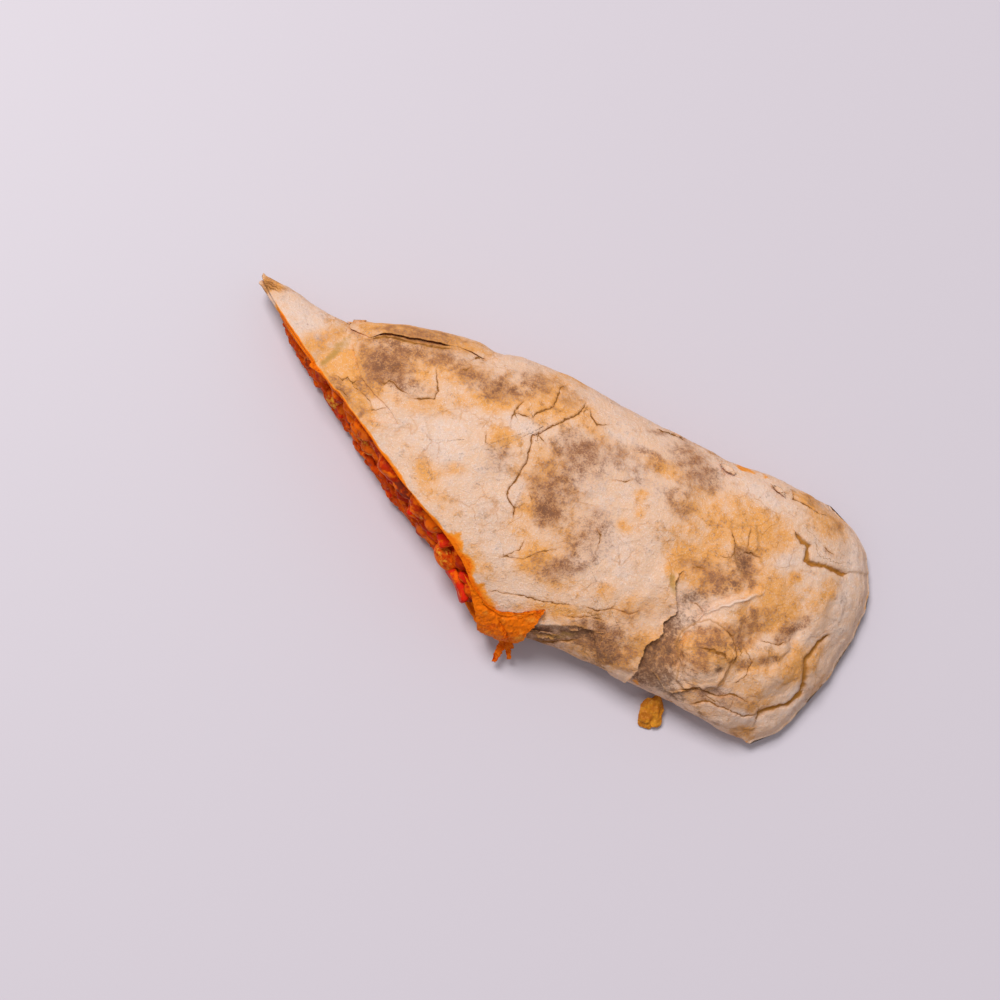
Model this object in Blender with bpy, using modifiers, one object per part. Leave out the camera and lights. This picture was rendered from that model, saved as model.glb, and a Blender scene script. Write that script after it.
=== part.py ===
"""Half of a chicken burrito: a flattened roll of thin flatbread, cut slantwise so that its filling shows.

Metres, +Z up. X runs along the roll, from the sharp tip of the slanting cut to the folded-in end, and
Y runs across it. The origin is under the middle of the whole, on the surface that the food lies on.
Sizes at the top are in millimetres.
"""

import math
import random

import bmesh
import bpy
import numpy as np
from mathutils import Matrix, Vector, noise

MM = 0.001

# The flattened roll, before the cut
ROLL_START = -110.0
FOLD_END = 105.0
FAR_EDGE = ((-110, 31.5), (-98, 30.5), (-71, 29.5), (-58, 32.4), (-31, 37), (-4, 38.2), (20, 35.8), (36, 35), (68, 36.5))
NEAR_EDGE = ((-110, -36), (-20, -38.5), (5, -38), (22, -35.5), (55, -36.5), (86, -38.5))
CROWN = ((-110, 17), (-80, 23), (-50, 28), (-10, 31), (35, 30.5), (66, 28), (84, 23.5), (95, 17.5), (102, 11), (105, 5))
UNDERSIDE = ((-110, 0), (93, 0), (105, 5))
WAIST = 0.4  # where the roll is widest, as a share of its height
UPPER_POWER = 2.2  # 2 is a round back, and more is flatter
LOWER_POWER = 4.0
REST_PRESS = 1.12  # how far the underside would sink into the table if the table did not flatten it
ROUND_STEPS = 480
# The three flat spots that it rests on, with their reach, and how high the underside stands between them
RESTING_SPOTS = ((80, 8, 16), (-50, 13, 15), (4, -21, 15))
REST_ARCH = 0.6

# The folded-in end seen from above: how far it reaches at each place across
FOLD_LINE = ((-39, 87.5), (-32, 93.5), (-16, 100.3), (-2, 104), (9, 105), (18, 103.6), (26, 99.6), (32, 93), (36.5, 84))
FOLD_BEND_FROM = 68.0

# Bread
WALL = 3.4
CAVITY_ROUND_FROM = 56.0
CAVITY_END = 89.0
CAVITY_GRID = (28, 30)
LAYER_SLOT = 0.5
SLOT_DEPTH = 7.0

# The slanting cut seen from above: places along the roll and across it
CUT_LINE = (
    (-125, 60),
    (-98.5, 30.6),
    (-88.7, 21.7),
    (-79, 14.6),
    (-60.3, 2.6),
    (-46, -6.7),
    (-32, -15),
    (-20.2, -21),
    (-12.5, -26.3),
    (0, -38),
    (25, -62),
)
# Degrees by which the lower lip stands out past the upper one, by the place along the roll
CUT_LEAN = ((-98, 1), (-70, 1.5), (-45, 3), (-12, 3), (0, 2))
CUT_FROM = -92.0
CUT_TO = -5.0

# Filling
GAP = 0.35
CORE_BEHIND_CUT = 3.4
PIECE_STANDS_OUT = (0.0, 1.9)
PIECE_SPACING = 7.2
ROW_SPACING = 6.6
SEED = 11

# The sauce-soaked flap at the near corner of the cut: how far along it reaches, by its share of the way down
CORNER_FLAP = ((0, -8), (0.1, 2), (0.22, 14.5), (0.4, 12.5), (0.6, 12), (0.8, 11), (1, 9))
# Shreds of its edge that stick out: where each starts, where it ends, and its width at the start
SHREDS = (((8.6, -36, 9.5), (12.7, -42.8, 5), 4.6), ((5.2, -36, 9), (9.1, -45, 4), 5.2))

# A browned scrap that leaked out and leans on the near side
SCRAP_CENTRE = (57.2, -40.9, 3.0)
SCRAP_SIZE = (6.8, 10.4, 3.0)
SCRAP_TILT = 24.0
SCRAP_FOOT = 0.6

# The torn edge of the last turn: its share of the way from the far side to the near side, and its place along
LAST_TURN_TEAR = (
    (0, 70),
    (0.1, 64),
    (0.16, 66),
    (0.26, 57),
    (0.34, 58),
    (0.42, 49),
    (0.5, 51),
    (0.58, 44),
    (0.66, 48),
    (0.74, 44),
    (0.84, 48),
    (1, 40),
)

# Low swells and hollows of the upper skin: x, y, reach and height
SWELLS = (
    (-22, 8, 30, 1.4),
    (18, 14, 17, 1.2),
    (14, -16, 15, 1.0),
    (48, -16, 9, -2.2),
    (63, -22, 9, 2.6),
    (64, -4, 6, 1.6),
    (73, 6, 7, 1.5),
    (52, 20, 14, 1.3),
    (80, -20, 8, 1.4),
    (-66, 18, 10, -1.2),
)


def clear_scene():
    for obj in list(bpy.data.objects):
        bpy.data.objects.remove(obj, do_unlink=True)


def new_collection(name):
    collection = bpy.data.collections.new(name)
    bpy.context.scene.collection.children.link(collection)
    return collection


def food_material(name, colour, roughness):
    material = bpy.data.materials.new(name)
    material.use_nodes = True
    shader = material.node_tree.nodes["Principled BSDF"]
    shader.inputs["Base Color"].default_value = (*colour, 1.0)
    shader.inputs["Roughness"].default_value = roughness
    shader.inputs["Metallic"].default_value = 0.0
    material.diffuse_color = (*colour, 1.0)
    return material


def through(stations, at):
    """A smooth curve through (place, value) stations that never overshoots them, level beyond both ends."""
    place, value = np.array(stations, float).T
    step = np.diff(place)
    rise = np.diff(value) / step
    slope = np.zeros_like(value)
    one_way = rise[1:] * rise[:-1] > 0
    slope[1:-1][one_way] = 2 / (1 / rise[1:][one_way] + 1 / rise[:-1][one_way])
    at = np.asarray(at, float)
    left = np.clip(np.searchsorted(place, at) - 1, 0, len(step) - 1)
    t = np.clip((at - place[left]) / step[left], 0, 1)
    return (
        (2 * t**3 - 3 * t**2 + 1) * value[left]
        + (t**3 - 2 * t**2 + t) * step[left] * slope[left]
        + (3 * t**2 - 2 * t**3) * value[left + 1]
        + (t**3 - t**2) * step[left] * slope[left + 1]
    )


def ease(low, high, at):
    t = np.clip((np.asarray(at, float) - low) / (high - low), 0, 1)
    return t * t * (3 - 2 * t)


def swell(x, y):
    """How far the upper skin stands up or sinks at a place, in millimetres."""
    height = 0.0
    for at_x, at_y, reach, rise in SWELLS:
        height += rise * math.exp(-((x - at_x) ** 2 + (y - at_y) ** 2) / reach**2)
    return height + 0.9 * noise.noise(Vector((x / 17, y / 13, 0.3)))


def rest_lift(x, y):
    """How high the underside stands off the table at a place, in millimetres."""
    pressed = max(1.3 * math.exp(-((x - at_x) ** 2 + (y - at_y) ** 2) / reach**2) for at_x, at_y, reach in RESTING_SPOTS)
    return REST_ARCH * (1 - min(1.0, pressed))


def roll_points(x, turn, inset=0.0, taper=1.0):
    """Points of the roll in millimetres, by the distance x along it and the turn round it.

    Turn 0 is the far edge, a quarter the top, a half the near edge and three quarters the underside.
    Inset is the depth below the skin, and taper shrinks the section about its middle.
    """
    x, turn, inset, taper = np.broadcast_arrays(x, turn, inset, taper)
    angle = np.linspace(0, 2 * math.pi, ROUND_STEPS + 1)
    cosine, sine = np.cos(angle), np.sin(angle)
    power = np.where(sine >= 0, 2 / UPPER_POWER, 2 / LOWER_POWER)
    points = np.empty((x.size, 3))
    for i, (along, share, deep, narrow) in enumerate(zip(x.flat, turn.flat, inset.flat, taper.flat)):
        far, near = through(FAR_EDGE, along), through(NEAR_EDGE, along)
        crown, base = through(CROWN, along), through(UNDERSIDE, along)
        waist = base + WAIST * (crown - base)
        half = (far - near) / 2 - deep
        rise = np.where(sine >= 0, crown - waist - deep, REST_PRESS * (waist - base - deep))
        y = half * np.sign(cosine) * np.abs(cosine) ** power
        z = waist + rise * np.sign(sine) * np.abs(sine) ** power
        z = np.maximum(z, base + deep)
        centre = (crown + base) / 2
        y = (far + near) / 2 + narrow * y
        z = centre + narrow * (z - centre)
        walked = np.concatenate(([0.0], np.cumsum(np.hypot(np.diff(y), np.diff(z)))))
        here = share * walked[-1]
        across, up = np.interp(here, walked, y), np.interp(here, walked, z)
        out = along + (through(FOLD_LINE, across) - FOLD_END) * ease(FOLD_BEND_FROM, FOLD_END, along)
        if crown - base > 0.1:
            up += swell(out, across) * ease(waist, crown, up) * narrow
            up += rest_lift(out, across) * (1 - ease(base, waist, up))
        points[i] = out, across, up
    return points


def mesh_object(name, mesh, collection, material=None):
    data = bpy.data.meshes.new(name)
    mesh.to_mesh(data)
    mesh.free()
    obj = bpy.data.objects.new(name, data)
    collection.objects.link(obj)
    if material:
        data.materials.append(material)
    return obj


def mapped_grid(across_x, across_y, place):
    """A flat grid of that many faces each way, each of its corners moved to place(p, q) for p and q from 0 to 1."""
    mesh = bmesh.new()
    bmesh.ops.create_grid(mesh, x_segments=across_x, y_segments=across_y, size=0.5)
    flat = np.array([v.co[:2] for v in mesh.verts]) + 0.5
    for vertex, point in zip(mesh.verts, place(flat[:, 0], flat[:, 1])):
        vertex.co = Vector(point) * MM
    return mesh


def closed_roll(name, along, around, place, collection, material=None):
    """A sheet rolled into a tube: its seam and its folded end weld together, and the end to be cut away is filled."""
    mesh = mapped_grid(along, around, place)
    bmesh.ops.remove_doubles(mesh, verts=mesh.verts, dist=0.02 * MM)
    open_edges = [edge for edge in mesh.edges if edge.is_boundary]
    bmesh.ops.holes_fill(mesh, edges=open_edges, sides=0)
    bmesh.ops.recalc_face_normals(mesh, faces=mesh.faces)
    return mesh_object(name, mesh, collection, material)


def skin_place(p, q):
    """The outside of the bread. Rows crowd towards the folded end, where the shape turns fastest."""
    x = ROLL_START + (FOLD_END - ROLL_START) * (1 - (1 - p) ** 1.35)
    return roll_points(x, q)


def inner_place(inset):
    """The inside of the bread, or the filling's skin: the roll inset, with its end rounded off."""

    def place(p, q):
        end = CAVITY_END - (inset - WALL)
        x = ROLL_START + (end - ROLL_START) * np.sin(p * math.pi / 2) ** 0.9
        share = np.clip((x - CAVITY_ROUND_FROM) / (end - CAVITY_ROUND_FROM), 0, 1)
        return roll_points(x, q, inset, np.sqrt(1 - share**2))

    return place


def rolled_layer(name, left, right, turns, depth, thickness, segments, collection):
    """A thin layer lying on or in the roll's wall.

    Left and right give its ends along the roll at each share of its width, turns its two edges round the
    roll, and depth that of its middle below the skin.
    """

    def place(p, q):
        start, end = through(left, q), through(right, q)
        x = start + (end - start) * p
        return roll_points(x, turns[0] + (turns[1] - turns[0]) * q, depth)

    mesh = mapped_grid(*segments, place)
    layer = mesh_object(name, mesh, collection)
    solidify = layer.modifiers.new("thickness", "SOLIDIFY")
    solidify.thickness = thickness * MM
    solidify.offset = 0.0
    solidify.use_even_offset = True
    return layer


def boolean(obj, name, operation, other):
    modifier = obj.modifiers.new(name, "BOOLEAN")
    modifier.operation = operation
    modifier.solver = "EXACT"
    modifier.object = other
    return modifier


def as_helper(obj):
    obj.hide_render = True
    obj.display_type = "WIRE"
    return obj


def cut_spot(x, height, behind=0.0):
    """The place on the cut at x along the roll and that height, moved behind it, and the level way out of the cut."""
    slope = float(through(CUT_LINE, x + 0.5) - through(CUT_LINE, x - 0.5))
    outward = Vector((slope, -1, 0)).normalized()
    lean_out = (through(CROWN, x) / 2 - height) * math.tan(math.radians(through(CUT_LEAN, x)))
    return Vector((x, through(CUT_LINE, x), height)) + outward * float(lean_out - behind), outward


def knife(name, behind, collection):
    """Everything in front of the cut, with its near face moved behind the cut by that distance."""
    low, high = -60.0, 90.0
    start, end = CUT_LINE[0][0], CUT_LINE[-1][0]

    def place(p, q):
        return [cut_spot(start + (end - start) * a, low + (high - low) * b, behind)[0] for a, b in zip(p, q)]

    mesh = mapped_grid(30, 1, place)
    front = list(mesh.faces)
    swept = bmesh.ops.extrude_face_region(mesh, geom=front, use_keep_orig=True)
    corners = [item for item in swept["geom"] if isinstance(item, bmesh.types.BMVert)]
    bmesh.ops.translate(mesh, vec=Vector((-110, -165, 0)) * MM, verts=corners)
    bmesh.ops.recalc_face_normals(mesh, faces=mesh.faces)
    return as_helper(mesh_object(name, mesh, collection))


def make_bread(parts, helpers):
    """The rolled bread: its skin with the last turn and the closing flap standing proud, hollow and cut open."""
    bread = closed_roll(
        "flatbread", 44, 44, skin_place, parts, food_material("baked_flatbread", (0.80, 0.58, 0.40), 0.8)
    )
    # The last turn's edges, seen from above: the step near the tip, and the torn edge towards the fold
    last_turn = rolled_layer(
        "last_turn",
        ((0, -66), (0.1, -66), (0.3, -46), (0.36, -60), (0.46, -112), (1, -112)),
        LAST_TURN_TEAR,
        (0.045, 0.462),
        -0.1,
        1.9,
        (26, 24),
        helpers,
    )
    closing_flap = rolled_layer(
        "closing_flap",
        ((0, 50), (1, 36)),
        ((0, 78), (0.4, 76), (0.8, 70), (1, 58)),
        (0.30, 0.49),
        -0.05,
        1.6,
        (10, 10),
        helpers,
    )
    corner_flap = rolled_layer(
        "corner_flap", ((0, -40), (1, -40)), CORNER_FLAP, (0.375, 0.535), -1.0, 1.5, (8, 12), helpers
    )
    cavity = closed_roll("cavity", *CAVITY_GRID, inner_place(WALL), helpers)
    # The thin space between two turns of bread, which shows only at the cut
    boolean(bread, "last_turn", "UNION", as_helper(last_turn))
    boolean(bread, "closing_flap", "UNION", as_helper(closing_flap))
    boolean(bread, "corner_flap", "UNION", as_helper(corner_flap))
    boolean(bread, "cavity", "DIFFERENCE", as_helper(cavity))
    boolean(bread, "knife", "DIFFERENCE", knife("knife", 0.0, helpers))
    for number, (low, high) in enumerate(((0.07, 0.40), (0.56, 0.93)), 1):
        slot = rolled_layer(
            f"layer_slot_{number}",
            ((0, ROLL_START), (1, ROLL_START)),
            slot_border(low, high),
            (low, high),
            WALL / 2,
            LAYER_SLOT,
            (4, 16),
            helpers,
        )
        boolean(bread, slot.name, "DIFFERENCE", as_helper(slot))
    for number, shred in enumerate(SHREDS, 1):
        boolean(bread, f"shred_{number}", "UNION", as_helper(make_shred(f"shred_{number}", *shred, helpers)))
    as_one_body(bread)
    return bread


def as_one_body(obj):
    """Applies the modifiers and drops the crumbs that the cuts leave loose, so that one closed body stays."""
    bpy.context.view_layer.update()
    joined = bpy.data.meshes.new_from_object(obj.evaluated_get(bpy.context.evaluated_depsgraph_get()))
    obj.modifiers.clear()
    mesh = bmesh.new()
    mesh.from_mesh(joined)
    bmesh.ops.triangulate(mesh, faces=mesh.faces)
    waiting = set(mesh.faces)
    bodies = []
    while waiting:
        body, rim = set(), {waiting.pop()}
        while rim:
            body |= rim
            met = (edge.link_faces for face in rim for edge in face.edges)
            rim = {face for faces in met if len(faces) == 2 for face in faces} - body
        waiting -= body
        bodies.append(body)
    crumbs = [face for body in sorted(bodies, key=len)[:-1] for face in body]
    bmesh.ops.delete(mesh, geom=crumbs, context="FACES")
    mesh.to_mesh(joined)
    mesh.free()
    obj.data = joined


def make_shred(name, start, end, width, collection):
    """A short torn strip that narrows to its end."""
    start, end = Vector(start), Vector(end)
    way = end - start
    mesh = bmesh.new()
    bmesh.ops.create_cone(
        mesh, cap_ends=True, segments=6, radius1=width / 2, radius2=width / 7, depth=way.length
    )
    bmesh.ops.scale(mesh, vec=(0.42, 1, 1), verts=mesh.verts)
    turned = Matrix.Translation((start + end) / 2) @ way.to_track_quat("Z", "X").to_matrix().to_4x4()
    bmesh.ops.transform(mesh, matrix=Matrix.Scale(MM, 4) @ turned, verts=mesh.verts)
    return mesh_object(name, mesh, collection)


def make_scrap(parts):
    """The loose browned scrap: an uneven flat lump that leans on the side of the bread."""
    mesh = bmesh.new()
    bmesh.ops.create_icosphere(mesh, subdivisions=3, radius=0.5)
    for vertex in mesh.verts:
        uneven = noise.noise(vertex.co * 3.1 + Vector((0.4, 2.2, 0.7)))
        vertex.co *= 1 + 0.45 * uneven
    bmesh.ops.scale(mesh, vec=SCRAP_SIZE, verts=mesh.verts)
    tilted = Matrix.Rotation(math.radians(SCRAP_TILT), 4, "X") @ Matrix.Rotation(0.25, 4, "Z")
    bmesh.ops.transform(mesh, matrix=tilted, verts=mesh.verts)
    bmesh.ops.translate(mesh, vec=SCRAP_CENTRE, verts=mesh.verts)
    for vertex in mesh.verts:
        vertex.co.z = max(vertex.co.z, SCRAP_FOOT)
    bmesh.ops.scale(mesh, vec=(MM, MM, MM), verts=mesh.verts)
    return mesh_object("cheese_scrap", mesh, parts, food_material("browned_cheese", (0.62, 0.26, 0.05), 0.5))


def rest_on_origin(parts):
    """Moves every object's shape alike, so that the origin is under the middle of the whole and at its lowest point."""
    bpy.context.view_layer.update()
    graph = bpy.context.evaluated_depsgraph_get()
    corners = [Vector(corner) for part in parts.objects for corner in part.evaluated_get(graph).bound_box]
    low = Vector([min(corner[axis] for corner in corners) for axis in range(3)])
    high = Vector([max(corner[axis] for corner in corners) for axis in range(3)])
    back = Matrix.Translation(-Vector(((low.x + high.x) / 2, (low.y + high.y) / 2, low.z)))
    for data in {obj.data for obj in bpy.data.objects}:
        data.transform(back)


def slot_border(low, high):
    """Where a slot between turns ends along the roll: a steady distance behind the cut all the way round."""
    x = np.linspace(CUT_LINE[-1][0], CUT_LINE[0][0], 200)
    y = through(CUT_LINE, x)
    stations = []
    for share in np.linspace(0, 1, 9):
        spot = roll_points(-47, low + (high - low) * share, WALL / 2)[0]
        cut_x = float(np.interp(spot[1], y, x))
        stations.append((share, cut_x + SLOT_DEPTH / math.sin(math.radians(34))))
    return tuple(stations)


def inner_span(x, y):
    """The lowest and highest places of the filling at a spot, in millimetres."""
    inset = WALL + GAP
    far, near = through(FAR_EDGE, x), through(NEAR_EDGE, x)
    share = min(1.0, abs(y - (far + near) / 2) / ((far - near) / 2 - inset))
    crown = through(CROWN, x)
    waist = WAIST * crown
    rise = (1 - share**UPPER_POWER) ** (1 / UPPER_POWER)
    fall = (1 - share**LOWER_POWER) ** (1 / LOWER_POWER)
    return waist - (waist - inset) * fall, waist + (crown - waist - inset) * rise


def corn_kernel():
    mesh = bmesh.new()
    bmesh.ops.create_icosphere(mesh, subdivisions=1, radius=1)
    for vertex in mesh.verts:
        vertex.co.y *= 0.8 - 0.2 * vertex.co.x
    bmesh.ops.scale(mesh, vec=(4.6, 4.6, 3.0), verts=mesh.verts)
    return mesh


def red_bean():
    mesh = bmesh.new()
    bmesh.ops.create_icosphere(mesh, subdivisions=1, radius=1)
    for vertex in mesh.verts:
        vertex.co.y += 0.3 * vertex.co.x**2
    bmesh.ops.scale(mesh, vec=(6.4, 3.9, 3.5), verts=mesh.verts)
    return mesh


def chicken_chunk():
    mesh = bmesh.new()
    bmesh.ops.create_cube(mesh, size=1)
    bmesh.ops.scale(mesh, vec=(12, 8.6, 7.6), verts=mesh.verts)
    bmesh.ops.bevel(
        mesh, geom=mesh.edges, offset=1.6, offset_type="OFFSET", segments=1, affect="EDGES", profile=0.5
    )
    return mesh


def pepper_piece():
    mesh = bmesh.new()
    bmesh.ops.create_grid(mesh, x_segments=3, y_segments=1, size=0.5)
    bmesh.ops.scale(mesh, vec=(11, 7, 1), verts=mesh.verts)
    for vertex in mesh.verts:
        vertex.co.z = 0.03 * vertex.co.x**2
    bmesh.ops.recalc_face_normals(mesh, faces=mesh.faces)
    bmesh.ops.solidify(mesh, geom=mesh.faces, thickness=2.6)
    bmesh.ops.recalc_face_normals(mesh, faces=mesh.faces)
    return mesh


# Each kind's maker, how common it is and the least height of bread opening that it fits
PIECE_KINDS = ((corn_kernel, 5, 0), (red_bean, 3, 9), (chicken_chunk, 4, 15), (pepper_piece, 3, 13))


def filling_spots():
    """Even steps along the cut, stacked in rows: yields the place on the cut, the way out of it and the headroom."""
    steps = round((CUT_TO - CUT_FROM) / (PIECE_SPACING * math.cos(math.radians(34))))
    for step in range(steps):
        x = CUT_FROM + (CUT_TO - CUT_FROM) * (step + 0.5) / steps
        low, high = inner_span(x, float(through(CUT_LINE, x)))
        if high - low < 4.5:
            continue
        rows = max(1, round((high - low) / ROW_SPACING - 0.3))
        for row in range(rows):
            spot, outward = cut_spot(x, low + (high - low) * (row + 0.5) / rows)
            yield spot, outward, high - low


def filling_piece(draw, spot, outward, headroom):
    """A piece turned by chance and pushed in until it stands out of the cut by a small drawn distance."""
    kinds = [make for make, share, least in PIECE_KINDS for _ in range(share) if headroom > least]
    mesh = draw.choice(kinds)()
    turned = Matrix.Rotation(draw.uniform(0, 2 * math.pi), 4, "Z")
    turned = turned @ Matrix.Rotation(draw.uniform(0, 2 * math.pi), 4, "X")
    turned = turned @ Matrix.Scale(draw.uniform(0.85, 1.1), 4)
    bmesh.ops.transform(mesh, matrix=turned, verts=mesh.verts)
    reach = max(vertex.co.dot(outward) for vertex in mesh.verts)
    along = Vector((-outward.y, outward.x, 0)) * draw.uniform(-1.2, 1.2)
    centre = spot + along + outward * (draw.uniform(*PIECE_STANDS_OUT) - reach)
    bmesh.ops.translate(mesh, vec=centre, verts=mesh.verts)
    bmesh.ops.scale(mesh, vec=(MM, MM, MM), verts=mesh.verts)
    return mesh


def make_filling(parts, helpers):
    """The filling: one mass inside the bread, with the pieces that show at the cut fused on."""
    filling = closed_roll(
        "filling", 22, 26, inner_place(WALL + GAP + 0.6), parts, food_material("saucy_filling", (0.78, 0.20, 0.05), 0.4)
    )
    boolean(filling, "knife", "DIFFERENCE", knife("filling_knife", CORE_BEHIND_CUT, helpers))
    pieces = new_collection("filling_pieces")
    draw = random.Random(SEED)
    for number, (spot, outward, headroom) in enumerate(filling_spots(), 1):
        mesh_object(f"piece_{number}", filling_piece(draw, spot, outward, headroom), pieces)
    join = filling.modifiers.new("pieces", "BOOLEAN")
    join.operation = "UNION"
    join.operand_type = "COLLECTION"
    join.collection = pieces
    join.solver = "MANIFOLD"
    room = closed_roll("filling_room", *CAVITY_GRID, inner_place(WALL + GAP), helpers)
    boolean(filling, "room", "INTERSECT", as_helper(room))
    as_one_body(filling)
    for piece in list(pieces.objects):
        bpy.data.objects.remove(piece, do_unlink=True)
    bpy.data.collections.remove(pieces)
    return filling


def main():
    clear_scene()
    parts = new_collection("chicken_burrito_half")
    helpers = new_collection("cutters")
    make_bread(parts, helpers)
    make_filling(parts, helpers)
    make_scrap(parts)
    rest_on_origin(parts)


main()
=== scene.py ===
"""The looks of half a chicken burrito, cut slantwise.

Thin floury flatbread with toasted patches, cracks and flaking turns is rolled round a saucy filling of
chicken, beans, sweetcorn and sweet pepper. Places along and across the roll are in millimetres in the
roll's own axes, and ROLL_TO_FRAME moves them to the frame. Names that end in PX hold places in the
photograph, in its own 1000 x 1000 pixels.
"""

import math
import random

import bmesh
import bpy
import numpy as np
from mathutils import Matrix, Vector, noise


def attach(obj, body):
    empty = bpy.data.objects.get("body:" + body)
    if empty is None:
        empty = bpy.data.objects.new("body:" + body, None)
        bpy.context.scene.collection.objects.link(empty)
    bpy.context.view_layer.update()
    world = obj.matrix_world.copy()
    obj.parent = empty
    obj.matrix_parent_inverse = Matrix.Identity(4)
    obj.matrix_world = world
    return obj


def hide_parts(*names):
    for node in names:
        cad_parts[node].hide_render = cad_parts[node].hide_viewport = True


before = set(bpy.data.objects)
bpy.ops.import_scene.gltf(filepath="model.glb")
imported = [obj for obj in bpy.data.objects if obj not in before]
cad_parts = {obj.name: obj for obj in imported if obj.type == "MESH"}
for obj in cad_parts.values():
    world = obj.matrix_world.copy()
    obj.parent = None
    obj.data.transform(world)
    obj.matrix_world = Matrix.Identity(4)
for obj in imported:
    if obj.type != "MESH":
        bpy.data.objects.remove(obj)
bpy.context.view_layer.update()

MM = 0.001
ROLL_TO_FRAME = np.array((-3.3, 3.86, 0.0))

# The camera: how far off straight down it looks, how the picture is turned, and how wide it sees there
CAMERA_AIM = Vector((-8.6, -2.2, 12.0))
CAMERA_LEAN = (-0.077, -0.144)
PICTURE_RIGHT = Vector((0.918, 0.397, 0.0))
CAMERA_DISTANCE = 700.0
SEEN_WIDTH = 290.0
PICTURE_SIDE = 1000
MM_PER_PX = SEEN_WIDTH / PICTURE_SIDE
SENSOR = 36.0

# The flattened roll, whose far edge dips in beside the tip
ROLL_START = -110.0
FOLD_END = 105.0
FAR_EDGE = (
    (-110, 31.5), (-98, 30.5), (-88, 29.9), (-73, 27.2), (-63, 29.8), (-52, 33.5), (-31, 37), (-4, 38.2),
    (20, 35.8), (36, 35), (68, 36.5),
)
NEAR_EDGE = ((-110, -36), (-20, -38.5), (5, -38), (22, -35.5), (55, -36.5), (86, -38.5))
CROWN = (
    (-110, 17), (-80, 23), (-50, 28), (-10, 31), (35, 30.5), (66, 28), (84, 23.5), (95, 17.5), (102, 11),
    (105, 5),
)
UNDERSIDE = ((-110, 0), (93, 0), (105, 5))
WAIST = 0.4
UPPER_POWER = 2.2
LOWER_POWER = 4.0
REST_PRESS = 1.12
RESTING_SPOTS = ((80, 8, 16), (-50, 13, 15), (4, -21, 15))
REST_ARCH = 0.6
FOLD_LINE = (
    (-39, 87.5), (-32, 93.5), (-16, 100.3), (-2, 104), (9, 105), (18, 103.6), (26, 99.6), (32, 93),
    (36.5, 84),
)
FOLD_BEND_FROM = 68.0
CAVITY_ROUND_FROM = 56.0
CAVITY_END = 89.0
SWELLS = (
    (-22, 8, 30, 1.4), (18, 14, 17, 1.2), (14, -16, 15, 1), (48, -16, 9, -2.2), (63, -22, 9, 2.6),
    (64, -4, 6, 1.6), (73, 6, 7, 1.5), (52, 20, 14, 1.3), (80, -20, 8, 1.4), (-66, 18, 10, -1.2),
)

# How finely the roll's skin is tabled along and round it
STATIONS = 431
ROUND_STEPS = 720

# The slanting cut, seen from above, and how far its lower lip stands out
CUT_LINE = (
    (-125, 60), (-98.5, 30.6), (-88.7, 21.7), (-79, 14.6), (-60.3, 2.6), (-46, -6.7), (-32, -15),
    (-20.2, -21), (-12.5, -26.3), (0, -38), (25, -62),
)
CUT_LEAN = ((-98, 1), (-70, 1.5), (-45, 3), (-12, 3), (0, 2))
CUT_FROM = -92.0
CUT_TO = -5.0
CUT_SLANT = math.radians(34)
# How many millimetres a whole turn is taken as where lines on the roll are measured
ROUND = 200.0

# Layers of bread, and how deep under the roll's skin they lie
TURN_THICKNESS = 0.85
BASE_SUNK = 0.35
BASE_THICKNESS = 1.1
LINING_DEPTHS = ((1.75, 2.5), (2.75, 3.45))
LINING_REACH = 22.0


def through(stations, at):
    """A smooth curve through (place, value) stations that never overshoots them, level beyond both ends."""
    place, value = np.array(stations, float).T
    step = np.diff(place)
    rise = np.diff(value) / step
    slope = np.zeros_like(value)
    one_way = rise[1:] * rise[:-1] > 0
    slope[1:-1][one_way] = 2 / (1 / rise[1:][one_way] + 1 / rise[:-1][one_way])
    at = np.asarray(at, float)
    left = np.clip(np.searchsorted(place, at) - 1, 0, len(step) - 1)
    t = np.clip((at - place[left]) / step[left], 0, 1)
    return (
        (2 * t**3 - 3 * t**2 + 1) * value[left]
        + (t**3 - 2 * t**2 + t) * step[left] * slope[left]
        + (3 * t**2 - 2 * t**3) * value[left + 1]
        + (t**3 - t**2) * step[left] * slope[left + 1]
    )


def ease(low, high, at):
    t = np.clip((np.asarray(at, float) - low) / (np.asarray(high, float) - low), 0, 1)
    return t * t * (3 - 2 * t)


def unit(vectors):
    return vectors / np.maximum(np.linalg.norm(vectors, axis=-1, keepdims=True), 1e-9)


def ripple(points, size, seed=0.0):
    """Smooth chance heights from -1 to 1 at these points, in bumps about that many millimetres wide."""
    flat = points.reshape(-1, 3) / size + seed
    return np.array([noise.noise(point) for point in flat.tolist()]).reshape(points.shape[:-1])


def shake(points, size, *seeds):
    """Chance moves from -1 to 1 in two directions."""
    return np.stack([ripple(points, size, seed) for seed in seeds], axis=-1)


def wobble(at, size, seed):
    """Chance values from -1 to 1 along a line."""
    at = np.asarray(at, float)
    flat = [noise.noise((value / size, seed, 0.5 * seed)) for value in at.ravel().tolist()]
    return np.array(flat).reshape(at.shape)


def ring_wobble(turn, size, seed):
    """Chance values from -1 to 1 round the roll, the same at turn 0 and at turn 1."""
    angle = np.asarray(turn, float) * 2 * math.pi
    reach = ROUND / (2 * math.pi * size)
    flat = np.stack((reach * np.cos(angle), reach * np.sin(angle), np.full_like(angle, seed)), axis=-1)
    return np.array([noise.noise(point) for point in flat.tolist()])


def swell(x, y):
    """How far the upper skin stands up or sinks at a place."""
    height = 0.9 * ripple(np.stack((x / 17, y / 13, np.full_like(x, 0.3)), axis=-1), 1.0)
    for at_x, at_y, reach, rise in SWELLS:
        height += rise * np.exp(-((x - at_x) ** 2 + (y - at_y) ** 2) / reach**2)
    return height


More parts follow.
